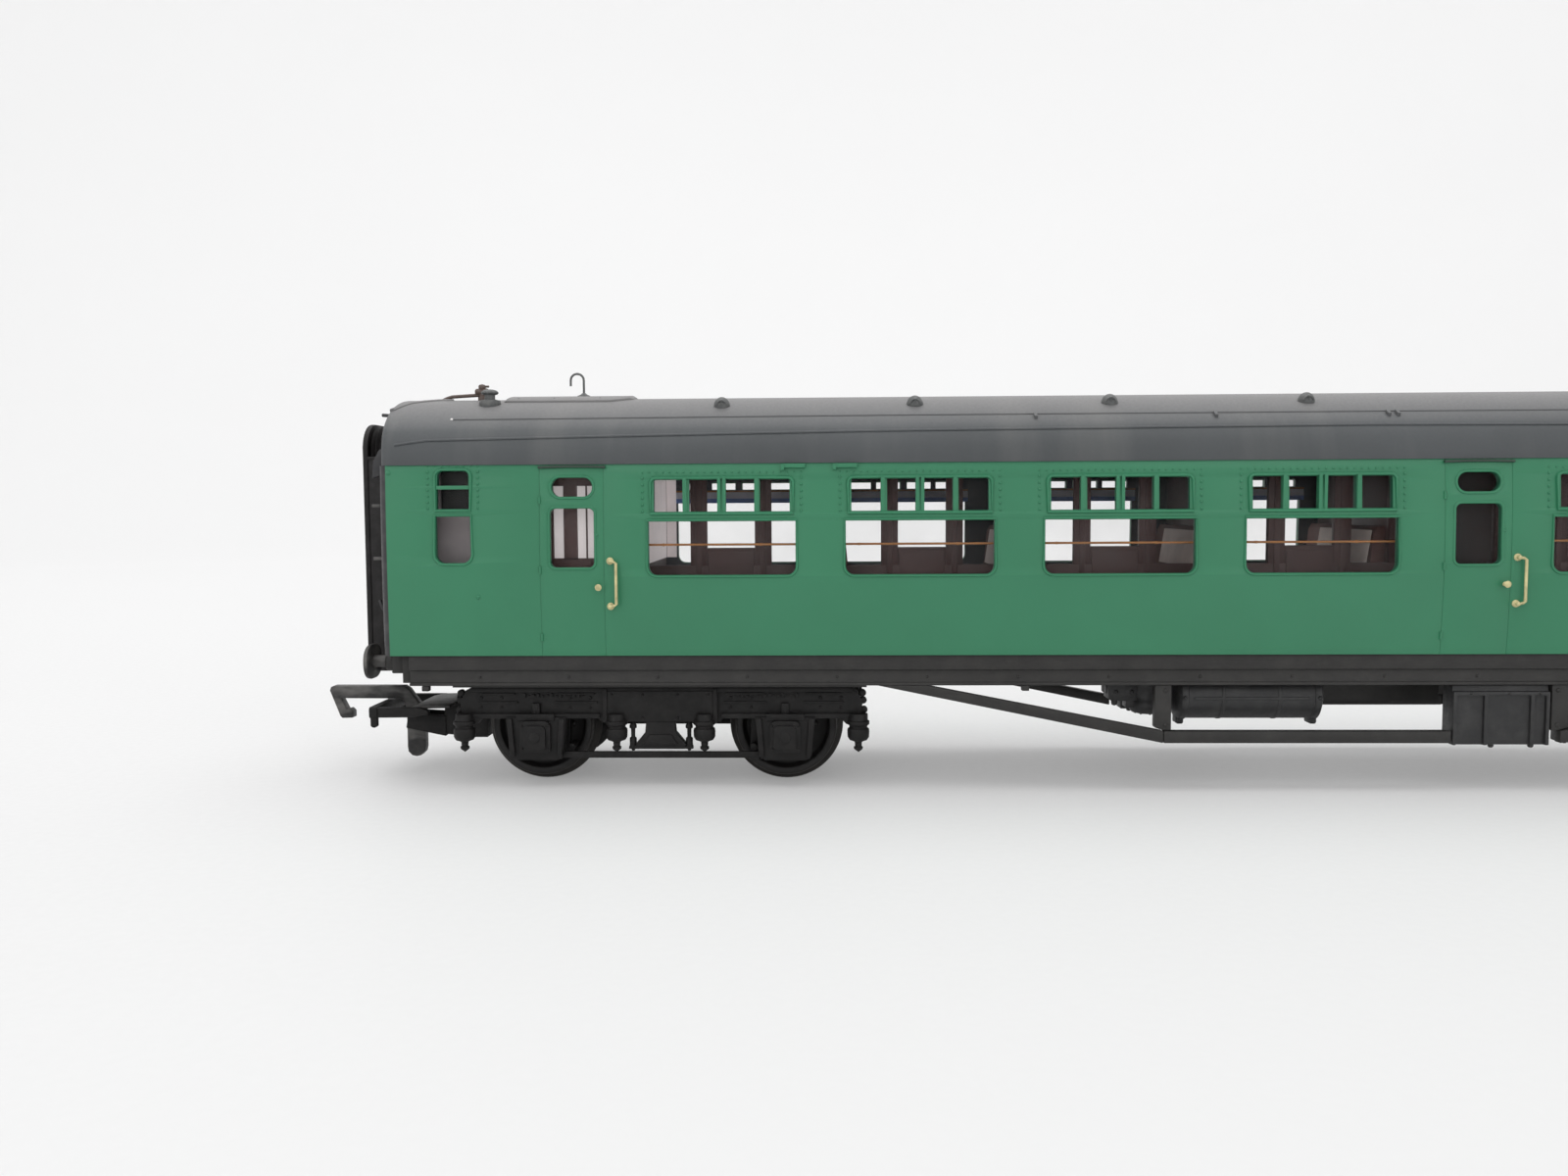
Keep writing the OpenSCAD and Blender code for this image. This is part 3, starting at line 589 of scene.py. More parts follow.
def body_shell():
    """The shell: painted sides, black ends, dark inside, cut for windows, gangways and door joints."""
    levels = 26
    slots = ["body_green", "end_black", "inner_wall", "shaded_reveal"]
    rows = []
    heights = [BODY_LOW + (CANT_Z - BODY_LOW) * i / levels for i in range(levels + 1)]
    outline = plan(HALF_W, 0, CORNER_R)
    n = len(outline)
    for z in heights:
        rows.append([(x, y, z) for x, y, _ in plan(side_y(z), 0, CORNER_R)])
    for z in reversed(heights):
        rows.append([(x, y, z) for x, y, _ in plan(side_y(z) - WALL, END_WALL, 0.4)])
    rows.append(rows[0])
    marks = []
    bands = len(rows) - 1
    for r in range(bands):
        for i in range(n):
            part = outline[(i + 1) % n][2]
            outermost = max(abs(outline[i][1]), abs(outline[(i + 1) % n][1]))
            black = part == "end" or (part == "corner" and outermost < HALF_W - CORNER_R * 0.01)
            marks.append(2 if r > levels else (1 if black and abs(outline[i][0]) > HALF_LEN - 6 else 0))
    faces = [
        (r * n + i, r * n + (i + 1) % n, (r + 1) % bands * n + (i + 1) % n, (r + 1) % bands * n + i)
        for r in range(bands)
        for i in range(n)
    ]
    shell = Shape().add([p for row in rows[:-1] for p in row], faces, marks)
    made = shell.mesh("body_shell_painted", slots)

    cutters = Shape()
    for side in SIDES:
        for outline in lights(side):
            # The cutters take slot 3, so the sides of the openings get the darker green of painted shade.
            cutters.prism(outline, "y", side * (HALF_W - 3.5), side * (HALF_W + 1), 3)
        for x in DOORS_X:
            for groove_x in (x - 4.3, x + 4.2):
                depth, half = 0.05, 0.05
                rows = []
                for i in range(13):
                    z = BODY_LOW - 0.2 + (CANT_Z - BODY_LOW + 0.4) * i / 12
                    rows.append([(groove_x + dx, side * (side_y(z) + dy), z)
                                 for dx, dy in ((-half, 1), (half, 1), (half, -depth), (-half, -depth))])
                cutters.rows(rows, 0)
    for end in SIDES:
        cutters.box((end * (HALF_LEN - 0.8) - 1.8 * (end < 0), -4.7, 19.1),
                    (end * (HALF_LEN - 0.8) + 1.8 * (end > 0), 4.7, 43.5), 1)
    knife = cutters.mesh("knife", slots)
    cut = made.modifiers.new("cut", "BOOLEAN")
    cut.operation, cut.solver, cut.object = "DIFFERENCE", "EXACT", knife
    baked = bpy.data.meshes.new_from_object(made.evaluated_get(bpy.context.evaluated_depsgraph_get()))
    made.modifiers.clear()
    made.data = baked
    bpy.data.objects.remove(knife)
    soften(made, 0.09, 40)
    return settle(made, "coach", "body_green", ["body_shell"])


def rim(shape, outline, side, width=0.42, height=0.16, mark=0):
    """A raised rim round an opening, on the curved side."""
    count = len(outline)
    middle = Vector((sum(p[0] for p in outline) / count, 0, sum(p[1] for p in outline) / count))
    path, ups = [], []
    for x, z in outline:
        away = Vector((x, 0, z)) - middle
        away = away.normalized() * width * 0.5
        path.append(on_side(x + away.x, z + away.z, side, 0))
        ups.append((0, side, 0))
    half = width / 2
    section = [(-half, -0.25), (half, -0.25), (half, 0.02),
               (half * 0.5, height), (-half * 0.5, height), (-half, 0.02)]
    return shape.sweep(path, section, ups, mark, closed=True)


def body_trim():
    """Rims, rivets, hinges and brackets that stand on the painted sides."""
    trim = Shape()
    for side in SIDES:
        low, high = NEAR_TRANSOM if side < 0 else FAR_TRANSOM
        for x in WINDOWS_X:
            lower = rounded((x - WINDOW_HALF, SILL_Z), (x + WINDOW_HALF, low), (1.3, 1.3, 0, 0))
            upper_half = WINDOW_HALF - 0.55
            upper = rounded((x - WINDOW_HALF + 0.55, high), (x + upper_half, LIGHT_TOP), (0, 0, 0.7, 0.7))
            rim(trim, lower, side, 0.4, 0.15)
            rim(trim, upper, side, 0.5, 0.26)
            for bar in (-4.85, -0.35, 0.35, 4.6):
                wide = 0.42 if abs(bar) < 1 else 0.55
                trim.box((x + bar - wide / 2, min(side * (HALF_W - 1.0), side * (HALF_W - 0.05)), high),
                         (x + bar + wide / 2, max(side * (HALF_W - 1.0), side * (HALF_W - 0.05)), LIGHT_TOP))
            rivet_rows(trim, x, WINDOW_HALF + 0.75, high + 0.2, LIGHT_TOP, 6, side)
        for x in DOORS_X:
            for outline in door_outlines(x):
                rim(trim, outline, side, 0.38, 0.14)
            hinge_x = x - 4.3 if side < 0 else x + 4.2
            for z in (21.0, 30.0, 39.2):
                trim.tube([on_side(hinge_x, z - 0.5, side, 0.0), on_side(hinge_x, z + 0.5, side, 0.0)], 0.19)
            latch_x = x + 3.3 if side < 0 else x - 3.3
            trim.dome(on_side(latch_x, 34.6, side), (0, side, 0), 0.22, 0.16)
        for x in (-74.65, -67.85, 67.85, 74.65):
            trim.prism([(x - 1.55, 43.3), (x + 1.55, 43.3), (x + 1.55, 43.82), (x - 1.55, 43.82)], "y",
                       side * (HALF_W - 1.2), side * (side_y(43.5) + 0.48))
            trim.prism([(x - 1.65, 43.0), (x - 1.2, 43.0), (x - 1.2, 43.75), (x - 1.65, 43.75)], "y",
                       side * (HALF_W - 1.2), side * (side_y(43.5) + 0.56))
        for x in (-END_LIGHT_X, END_LIGHT_X):
            outlines = list(end_outlines(x))
            rim(trim, outlines[0], side, 0.4, 0.15)
            rim(trim, rounded((x - 2.2, 38.1), (x + 2.2, 43.2), (0, 0, 0.9, 0.9)), side, 0.45, 0.2)
            rivet_rows(trim, x, 3.35, 38.2, 43.0, 7, side)
            inward = -1 if x > 0 else 1
            trim.dome(on_side(x + inward * 3.2, 26.4, side), (0, side, 0), 0.3, 0.22)
            trim.dome((x + math.copysign(8.6, x), side * 17.05, 42.9),
                      (math.copysign(0.5, x), side * 0.8, 0), 0.42, 0.42)
    return piece(trim, "body_trim", "body_green", "coach", "body_green")


def rivet_rows(shape, x, offset, low, high, count, side):
    """An upright row of rivets on both sides of a window, and a sparser one over it."""
    for dx in (-offset, offset):
        for i in range(count):
            z = low + (high - low) * i / (count - 1)
            shape.dome(on_side(x + dx, z, side), (0, side, 0), 0.2, 0.17, steps=8)
    top = int(offset * 2 / 0.9)
    for i in range(top + 1):
        place = on_side(x - offset + 2 * offset * i / top, high + 0.75, side)
        shape.dome(place, (0, side, 0), 0.14, 0.11, steps=8)


def roof_section():
    """Points of the roof's outside across the coach, from one cantrail to the other, with their normals."""
    points = []
    lean = math.atan2(TANGENT_Y, roof_z(TANGENT_Y) - ROOF_CY)
    for i in range(13):
        a = (math.pi / 2 - lean) * i / 12
        points.append((-(ROOF_HALF - HAUNCH_R) - HAUNCH_R * math.cos(a), CANT_Z + HAUNCH_R * math.sin(a)))
    for i in range(1, 40):
        a = -lean + 2 * lean * i / 40
        points.append((ROOF_R * math.sin(a), ROOF_CY + ROOF_R * math.cos(a)))
    for i in range(13):
        a = lean + (math.pi / 2 - lean) * i / 12
        points.append(((ROOF_HALF - HAUNCH_R) + HAUNCH_R * math.sin(a), CANT_Z + HAUNCH_R * math.cos(a)))
    return [(y, z, roof_normal(y)) for y, z in points]


def roof():
    """The roof: one arc with tight haunches, rounded where it meets the bowed ends."""
    section = roof_section()
    skin = Shape()
    depths = [ROOF_EDGE_R * (1 - math.cos(math.radians(a))) for a in range(0, 91, 15)]
    rows = []

    def row(end, depth):
        drop = ROOF_EDGE_R - math.sqrt(max(ROOF_EDGE_R**2 - (ROOF_EDGE_R - depth) ** 2, 0))
        ring = []
        for y, z, out in section:
            x = end * (HALF_LEN - bow_x(y) - depth)
            ring.append((x, y - out.y * drop, max(z - out.z * drop, CANT_Z)))
        return ring

    rows += [row(-1, d) for d in depths]
    rows += [[(x, y, z) for y, z, _ in section] for x in range(-120, 121, 20)]
    rows += [row(1, d) for d in reversed(depths)]
    n = len(section)
    skin.rows(rows, 0, closed=False, ends=False)
    start = len(skin.points)
    bottoms = [[(x, y, CANT_Z) for x, y, _ in r] for r in rows]
    skin.points += [Vector(p) for r in bottoms for p in r]
    count = len(rows)
    for r in range(count - 1):
        for i in range(n - 1):
            corner = start + r * n + i
            skin.faces.append((corner, corner + n, corner + n + 1, corner + 1))
            skin.marks.append(1)
        for i in (0, n - 1):
            skin.faces.append((r * n + i, (r + 1) * n + i, start + (r + 1) * n + i, start + r * n + i))
            skin.marks.append(0)
    for r in (0, count - 1):
        for i in range(n - 1):
            skin.faces.append((r * n + i, r * n + i + 1, start + r * n + i + 1, start + r * n + i))
            skin.marks.append(0)
    made = skin.mesh("roof_skin", ["roof_grey", "inner_wall"])
    work = bmesh.new()
    work.from_mesh(made.data)
    bmesh.ops.remove_doubles(work, verts=work.verts, dist=1e-6)
    bmesh.ops.dissolve_degenerate(work, edges=work.edges, dist=1e-7)
    bmesh.ops.recalc_face_normals(work, faces=work.faces)
    work.to_mesh(made.data)
    work.free()
    soften(made, 0, 40)
    return settle(made, "coach", "roof_grey", ["roof"])


def roof_ribs():
    """Rain ribs along the roof, the slanted ridge on each end, and small lugs."""
    ribs = Shape()
    bead = [(-0.2, -0.2), (0.2, -0.2), (0.17, 0.1), (0.0, 0.16), (-0.17, 0.1)]

    def along(points, section):
        """A section carried through (x, y) points on the roof."""
        path, ups = [], []
        for (x0, y0), (x1, y1) in zip(points, points[1:]):
            steps = max(2, int(abs(x1 - x0) / 4))
            for i in range(steps + (x1 == points[-1][0])):
                k = i / steps
                x, y = x0 + (x1 - x0) * k, y0 + (y1 - y0) * k
                path.append((x, y, roof_z(y)))
                ups.append(tuple(roof_normal(y)))
        ribs.sweep(path, section, ups)

    upper = ((-120.7, -13.1), (-63, -12.75), (0, -12.7), (63, -12.75), (120.7, -13.1))
    lower = ((-127.6, -16.75), (-123.4, -16.45), (-63, -15.8), (0, -15.5), (63, -15.8), (123.4, -16.45),
             (127.6, -16.75))
    slanted = ((-130.1, -9.9), (-128.7, -6.4), (-125.6, -3.4), (-123.5, -3.1))
    ridge = [(-0.45, -0.3), (0.45, -0.3), (0.4, 0.12), (0.1, 0.24), (-0.4, 0.1)]
    lug_y = -13.5
    for turn in (1, -1):
        for line, section in ((upper, bead), (lower, bead), (slanted, ridge)):
            along([(turn * x, turn * y) for x, y in line], section)
        for x in (-42.5, -18.8, 3.7, 4.9, 28.5, 60.5):
            out = roof_normal(turn * lug_y)
            ribs.sweep([(turn * x + dx, turn * lug_y, roof_z(lug_y)) for dx in (-0.2, 0.2)],
                       [(-0.6, -0.2), (0.6, -0.2), (0.5, 0.42), (-0.5, 0.42)], tuple(out))
        chip = (turn * -120.9, turn * -13.1)
        ribs.dome((chip[0], chip[1], roof_z(chip[1])), tuple(roof_normal(chip[1])), 0.22, 0.18, 1)
    return piece(ribs, "roof_ribs", ["roof_grey", "bare"], "coach", "roof_grey")


def roof_fittings():
    """Shell vents, mushroom vents, tank covers, filler pipes with their valves, and bent vent pipes."""
    vents = Shape()
    for x in (-84.6, -58.2, -31.8, -5.4, 33.1, 58.6, 84.1):
        for side in SIDES:
            shell_vent(vents, x, side * 9.2)
    piece(vents, "roof_shell_vents", "fittings", "coach", "roof_fittings", ["roof_vents"])

    mushroom = Shape().lathe(
        [(-0.9, 1.3), (-0.2, 1.45), (0.2, 1.5), (0.55, 1.4), (0.68, 0.85), (0.75, 0.72), (1.3, 0.72),
         (1.4, 1.05), (1.55, 1.19), (1.75, 1.16), (1.95, 0.9), (2.06, 0.5), (2.08, 0.0)],
        (-117.1, -7.6, roof_z(7.6)), "z")
    cover_nodes = ["tank_cover_left", "tank_cover_right"]
    for shape, name, material, slot, nodes, width in (
        (mushroom, "roof_mushroom_vents", "fittings", "roof_fittings", ["mushroom_vents"], 0.0),
        (tank_cover(), "roof_tank_covers", "roof_grey", "roof_grey", cover_nodes, 0.12),
        (filler_pipe(), "roof_filler_pipes", "pipe", "pipe_brown", ["filler_pipes"], 0.06),
        (gooseneck(), "roof_gooseneck_pipes", "fittings", "roof_fittings", ["gooseneck_pipes"], 0.0),
    ):
        piece(shape.both_ends(), name, material, "coach", slot, nodes, width)


def shell_vent(shape, x, y):
    """A small hooded dome with an upright mouth towards the cantrail."""
    out = roof_normal(y)
    centre = Vector((x, y, roof_z(y)))
    turn = Vector((0, 0, 1)).rotation_difference(out).to_matrix()
    rings = []
    for k in range(7):
        a = math.radians(90 * k / 6)
        r, h = max(1.12 * math.cos(a), 0.02), 1.2 * math.sin(a)
        rings.append([centre + turn @ Vector((u, v, h)) for u, v in disc(r, 20)])
    base = [p - out * 0.3 for p in rings[0]]
    shape.rows([base] + rings)
    away = Vector((0, math.copysign(1, y), -0.1)).normalized()
    arch = []
    for i in range(13):
        a = math.pi * i / 12
        sideways = Vector((0.62 * math.cos(a), 0, 0))
        arch.append(centre + away * 0.82 + sideways + out * (0.62 * math.sin(a) + 0.12))
    shape.sweep(arch, disc(0.16, 8), tuple(away))
    shape.sweep([centre + away * 0.55 + out * 0.1, centre + away * 0.55 + out * 0.95],
                [(-0.14, -0.5), (0.14, -0.5), (0.14, 0.5), (-0.14, 0.5)], tuple(away))


def tank_cover():
    """A raised plate on the roof that follows its curve, with a tapered inner end."""
    cover = Shape()
    rise = 0.46
    rows = []
    stations = ((-115.5, 6.1, 0.1), (-115.1, 6.4, rise), (-100.5, 6.4, rise), (-98.0, 4.6, rise),
                (-97.5, 4.3, 0.1))
    for x, half, up in stations:
        top, bottom = [], []
        for i in range(17):
            y = -half + 2 * half * i / 16
            out = roof_normal(y)
            lift = up if 0 < i < 16 else up * 0.6
            top.append((x, y + out.y * lift, roof_z(y) + out.z * lift))
            bottom.append((x, y, roof_z(y) - 0.3))
        rows.append(top + bottom[::-1])
    cover.rows(rows)
    for x in (-113.5, -108.5, -102.0):
        for y in (-5.6, 5.6):
            cover.dome((x, y, roof_z(y) + rise - 0.02), tuple(roof_normal(y)), 0.2, 0.12)
    return cover


def filler_pipe():
    """A thin pipe along the roof's end to a valve with a cap and a side branch."""
    pipe = Shape()
    x, y, z = -119.4, -3, roof_z(3)
    bends = ((-125.2, -0.05), (-124.4, 0.32), (-123.7, 0.52), (-119.6, 0.75))
    pipe.tube([(bend_x, y, z + rise) for bend_x, rise in bends], 0.25)
    pipe.lathe([(-0.5, 0.6), (0.5, 0.6), (0.55, 0.42), (0.95, 0.42)], (x, y, z), "z", steps=20)
    pipe.lathe([(-1.0, 0.3), (-0.8, 0.46), (0.7, 0.5), (0.95, 0.32)], (x, y, z + 1.2), "x", steps=20)
    pipe.lathe([(0.0, 0.3), (0.25, 0.34), (0.45, 0.5), (0.8, 0.52), (1.0, 0.4), (1.1, 0.0)],
               (x, y, z + 1.2), "z", steps=20)
    pipe.lathe([(-0.5, 0.16), (0.5, 0.16)], (-118.9, y, z + 1.95), "x", steps=10)
    return pipe


def gooseneck():
    """A bent vent pipe that rises from a coned base on the tank cover."""
    neck = Shape()
    x, foot = -105.35, CROWN_Z + 0.46
    cone = [(-0.2, 1.0), (0.12, 0.95), (0.3, 0.5), (0.5, 0.28), (0.55, 0.17)]
    neck.lathe(cone, (x, 0, foot), "z", steps=24)
    path = [(x, 0, foot + 0.2), (x, 0, foot + 2.3)]
    path += [(-106.3 + 0.95 * math.cos(a), 0, foot + 2.35 + 0.95 * math.sin(a))
             for a in (math.pi * i / 14 for i in range(1, 15))]
    path += [(-107.25, 0, foot + 1.55)]
    return neck.sweep(path, disc(0.165, 10), (0, 1, 0))


def door_furniture():
    """Knobs, grab handles and rain strips of the six doors."""
    knobs, grabs, strips = Shape(), Shape(), Shape()
    knob_z, grab_low, grab_high = 27.7, 25.15, 31.15
    profile = [(-0.3, 0.26), (0.12, 0.3), (0.2, 0.2), (0.5, 0.2), (0.6, 0.38), (0.78, 0.45), (0.92, 0.3),
               (0.95, 0)]
    for side in SIDES:
        for x in DOORS_X:
            y = side_y(knob_z)
            knobs.lathe([(side * (y + a), r) for a, r in profile], (x - side * 3.5, 0, knob_z), "y", steps=24)
            grab_x = x - side * 5.0
            out = side * (side_y(28) + 0.62)
            bar_x = grab_x - side * 0.95
            path = []
            for z, way in ((grab_low, 1), (grab_high, -1)):
                bend = [(grab_x, side * (side_y(z) - 0.3), z), (grab_x, out - side * 0.1, z),
                        (grab_x - side * 0.12, out, z), (bar_x + side * 0.45, out, z + way * 0.08),
                        (bar_x + side * 0.1, out, z + way * 0.3)]
                path += bend if way > 0 else bend[::-1]
            grabs.sweep(path, disc(0.2, 10), (1, 0, 0.2))
            for z in (grab_low, grab_high):
                base = side_y(z)
                foot = [(base - 0.2, 0.5), (base + 0.12, 0.48), (base + 0.25, 0.3)]
                grabs.lathe([(side * a, r) for a, r in foot], (grab_x, 0, z), "y", steps=16)
                grabs.dome((grab_x, out, z), (0, side, 0), 0.3, 0.24)
            arc = [on_side(x - 4.45 + 8.9 * i / 10, 43.52 + 0.1 * math.sin(math.pi * i / 10), side, 0.02)
                   for i in range(11)]
            strips.sweep(arc, [(-0.18, -0.1), (0.18, -0.1), (0.12, 0.33), (-0.16, 0.33)], (0, side, 0))
    piece(knobs, "door_knobs", "gold", "coach", "pale_gold", ["door_handles"])
    piece(grabs, "door_grab_handles", "gold", "coach", "pale_gold", ["grab_handles"])
    piece(strips, "door_rain_strips", "strip", "coach", "strip_dark", ["rain_strips"])


# ---- interior ------------------------------------------------------------------------------------

FIRST_DOORS = [-83.5 + 26.3 * i for i in range(4)]
FIRST_WALLS = [-96, -69.65, -43.25, -16.85, 6.5]
SECOND_DOORS = SECOND_X[::-1]
SECOND_WALLS = [20.6, 45.9, 71.4, 96]
PARTITION = (-9.5, -8.5)


def partition():
    """The glazed wooden wall between corridor and compartments: posts, sills and a header."""
    wall = Shape()
    y0, y1 = PARTITION
    header, top, floor = 42.0, 43.4, 21.0
    for start, end, doors, walls in ((-97, 7.5, FIRST_DOORS, FIRST_WALLS),
                                     (19.6, 97, SECOND_DOORS, SECOND_WALLS)):
        wall.box((start, y0, header), (end, y1, top))
        wall.box((start, y0, floor), (end, y1, 30.1))
        for x in doors:
            wall.box((x - 3.3, y0, 30.0), (x + 3.3, y1, 32.5))
            wall.box((x - 3.1, y0 - 0.12, 22), (x + 3.1, y0 + 0.1, 31.9))
            for left in (x - 5.6, x + 3.3):
                wall.box((left, y0, 30.0), (left + 2.3, y1, header + 0.1))
                wall.box((left + 0.75, y0 - 0.15, 21.5), (left + 1.55, y0 + 0.1, header))
        for x in walls:
            wall.box((x - 0.45, y0, 30.0), (x + 0.45, y1, header + 0.1))
    piece(wall, "corridor_partition_wood", "maroon", "coach", "interior_maroon", ["corridor_partition"], 0.1)

    bands = Shape()
    inner = side_y(39.6) - WALL - 0.75
    for x in WINDOWS_X:
        half = WINDOW_HALF + 0.3
        bands.box((x - half, inner - 0.12, 39.35), (x + half, inner, 40.35), 0)
        bands.box((x - half, inner - 0.15, 38.65), (x + half, inner, 39.35), 1)
        bands.box((x - half, inner - 0.2, 40.35), (x + half, inner, 40.62), 2)
    piece(bands, "compartment_window_bands", ["band", "blue", "rail"], "coach", "interior_grey")


def screens():
    """Panels and posts inside the end doors and pale panels by the outer compartments, whose pale parts glow
    with painted light, and the handrails.
    """
    wood, pale, dark = 0, 1, 2
    screen, rails = Shape(), Shape()
    screen.box((-107.9, -14.5, 21.05), (-101.0, -14.1, 31.4), wood)
    for x0, x1, mark in ((-107.0, -105.7, pale), (-103.8, -102.7, pale), (-102.45, -101.2, pale),
                         (-107.7, -107.1, wood), (-105.65, -103.85, wood), (-102.65, -102.5, wood)):
        screen.box((x0, -14.5 if mark == wood else -14.3, 31.2), (x1, -14.1, 41.2), mark)
    screen.box((-107.7, -14.45, 41.1), (-101.2, -14.0, 43.3), wood)
    screen.box((-95.55, -8.3, 30.2), (-95.45, 15, 43), pale)
    screen.box((-95.4, 15.05, 30.2), (-93.9, 15.2, 43), pale)
    # A dark sheet behind the upper lights of each end window: painted shade for the dim inside behind them.
    screen.box((-122.4, -13.7, 37.4), (-117.0, -13.5, 43.3), dark)
    piece(screen.both_ends(), "vestibule_screens", ["maroon", "frost", "wheel"], "coach", "interior_grey")

    rail_z = 33.2
    y = -(side_y(rail_z) - WALL - 0.85)
    for x0, x1 in ((-95, 7.2), (20, 95)):
        rails.tube([(x0, y, rail_z), (x1, y, rail_z)], 0.15)
        for x in range(int(x0) + 3, int(x1), 13):
            rails.lathe([(y - 0.1, 0.2), (y + 0.1, 0.2)], (x, 0, rail_z), "y", steps=12)
    piece(rails, "corridor_handrail_bars", "rail", "coach", "rail_brown", ["corridor_handrails"])


def interior():
    """Glazing, floor and walls dressed, and the detailed furniture."""
    dress(["glazing_corridor_side", "glazing_compartment_side"], "clear")
    dress(["interior_floor", "compartment_walls"], "maroon", 0.08)
    dress(["end_walls"], "frosted", 0.08)
    dress(["ballast_weight"], "steel", 0.15)
    dress(["body_screws"], "steel", 0.1)
    seats()
    partition()
    screens()


def seats():
    """Benches with rounded cushions, arm rests and a cloth over the backs that face -X."""
    back = [(0, 0), (6.2, 0), (6.5, 2.2), (6.6, 4.6), (6.2, 5.1), (3, 4.9), (2.3, 5.2), (1.9, 9), (1.5, 13.2),
            (1.0, 14), (0, 14)]
    cloth = [(2.35, 8.4), (2.5, 8.4), (1.72, 13.5), (1.58, 13.5)]
    y0, y1, z = -8.1, 15.4, 21.0
    for name, walls, material, arms in (("seats_first_class", FIRST_WALLS, "seat_first", 3),
                                        ("seats_second_class", SECOND_WALLS, "seat_second", 1)):
        bench = Shape()
        for left, right in zip(walls, walls[1:]):
            for wall_x, out in ((left + 0.4, 1), (right - 0.4, -1)):
                if wall_x < FIRST_WALLS[0] + 1:  # the outermost first class compartment has one bench
                    continue
                bench.prism([(wall_x + out * a, z + b) for a, b in back], "y", y0, y1)
                places = [y0 + 0.6 + (y1 - y0 - 2.2) * i / arms for i in range(arms + 1)]
                for y in places:
                    a, b = sorted((wall_x + out * 2.0, wall_x + out * 5.6))
                    bench.prism(rounded((a, z + 5.0), (b, z + 7.6), (0.2, 0.2, 0.8, 0.8)), "y", y, y + 1)
                for y in places[:-1]:
                    a, b = sorted((wall_x + out * 2.4, wall_x + out * 6.2))
                    gap = (y1 - y0 - 2.2) / arms
                    cushion = rounded((a, z + 4.6), (b, z + 5.5), (0.1, 0.1, 0.4, 0.4))
                    bench.prism(cushion, "y", y + 1.2, y + gap - 0.2)
                if out < 0:
                    bench.prism([(wall_x - a, z + b) for a, b in cloth], "y", y0 + 0.3, y0 + 18.3, 1)
        piece(bench, name + "_cushioned", [material, "cloth"], "coach", material, [name], 0.3)


# ---- underframe and ends -------------------------------------------------------------------------


UNDERFRAME_SLOT = "underframe_black"


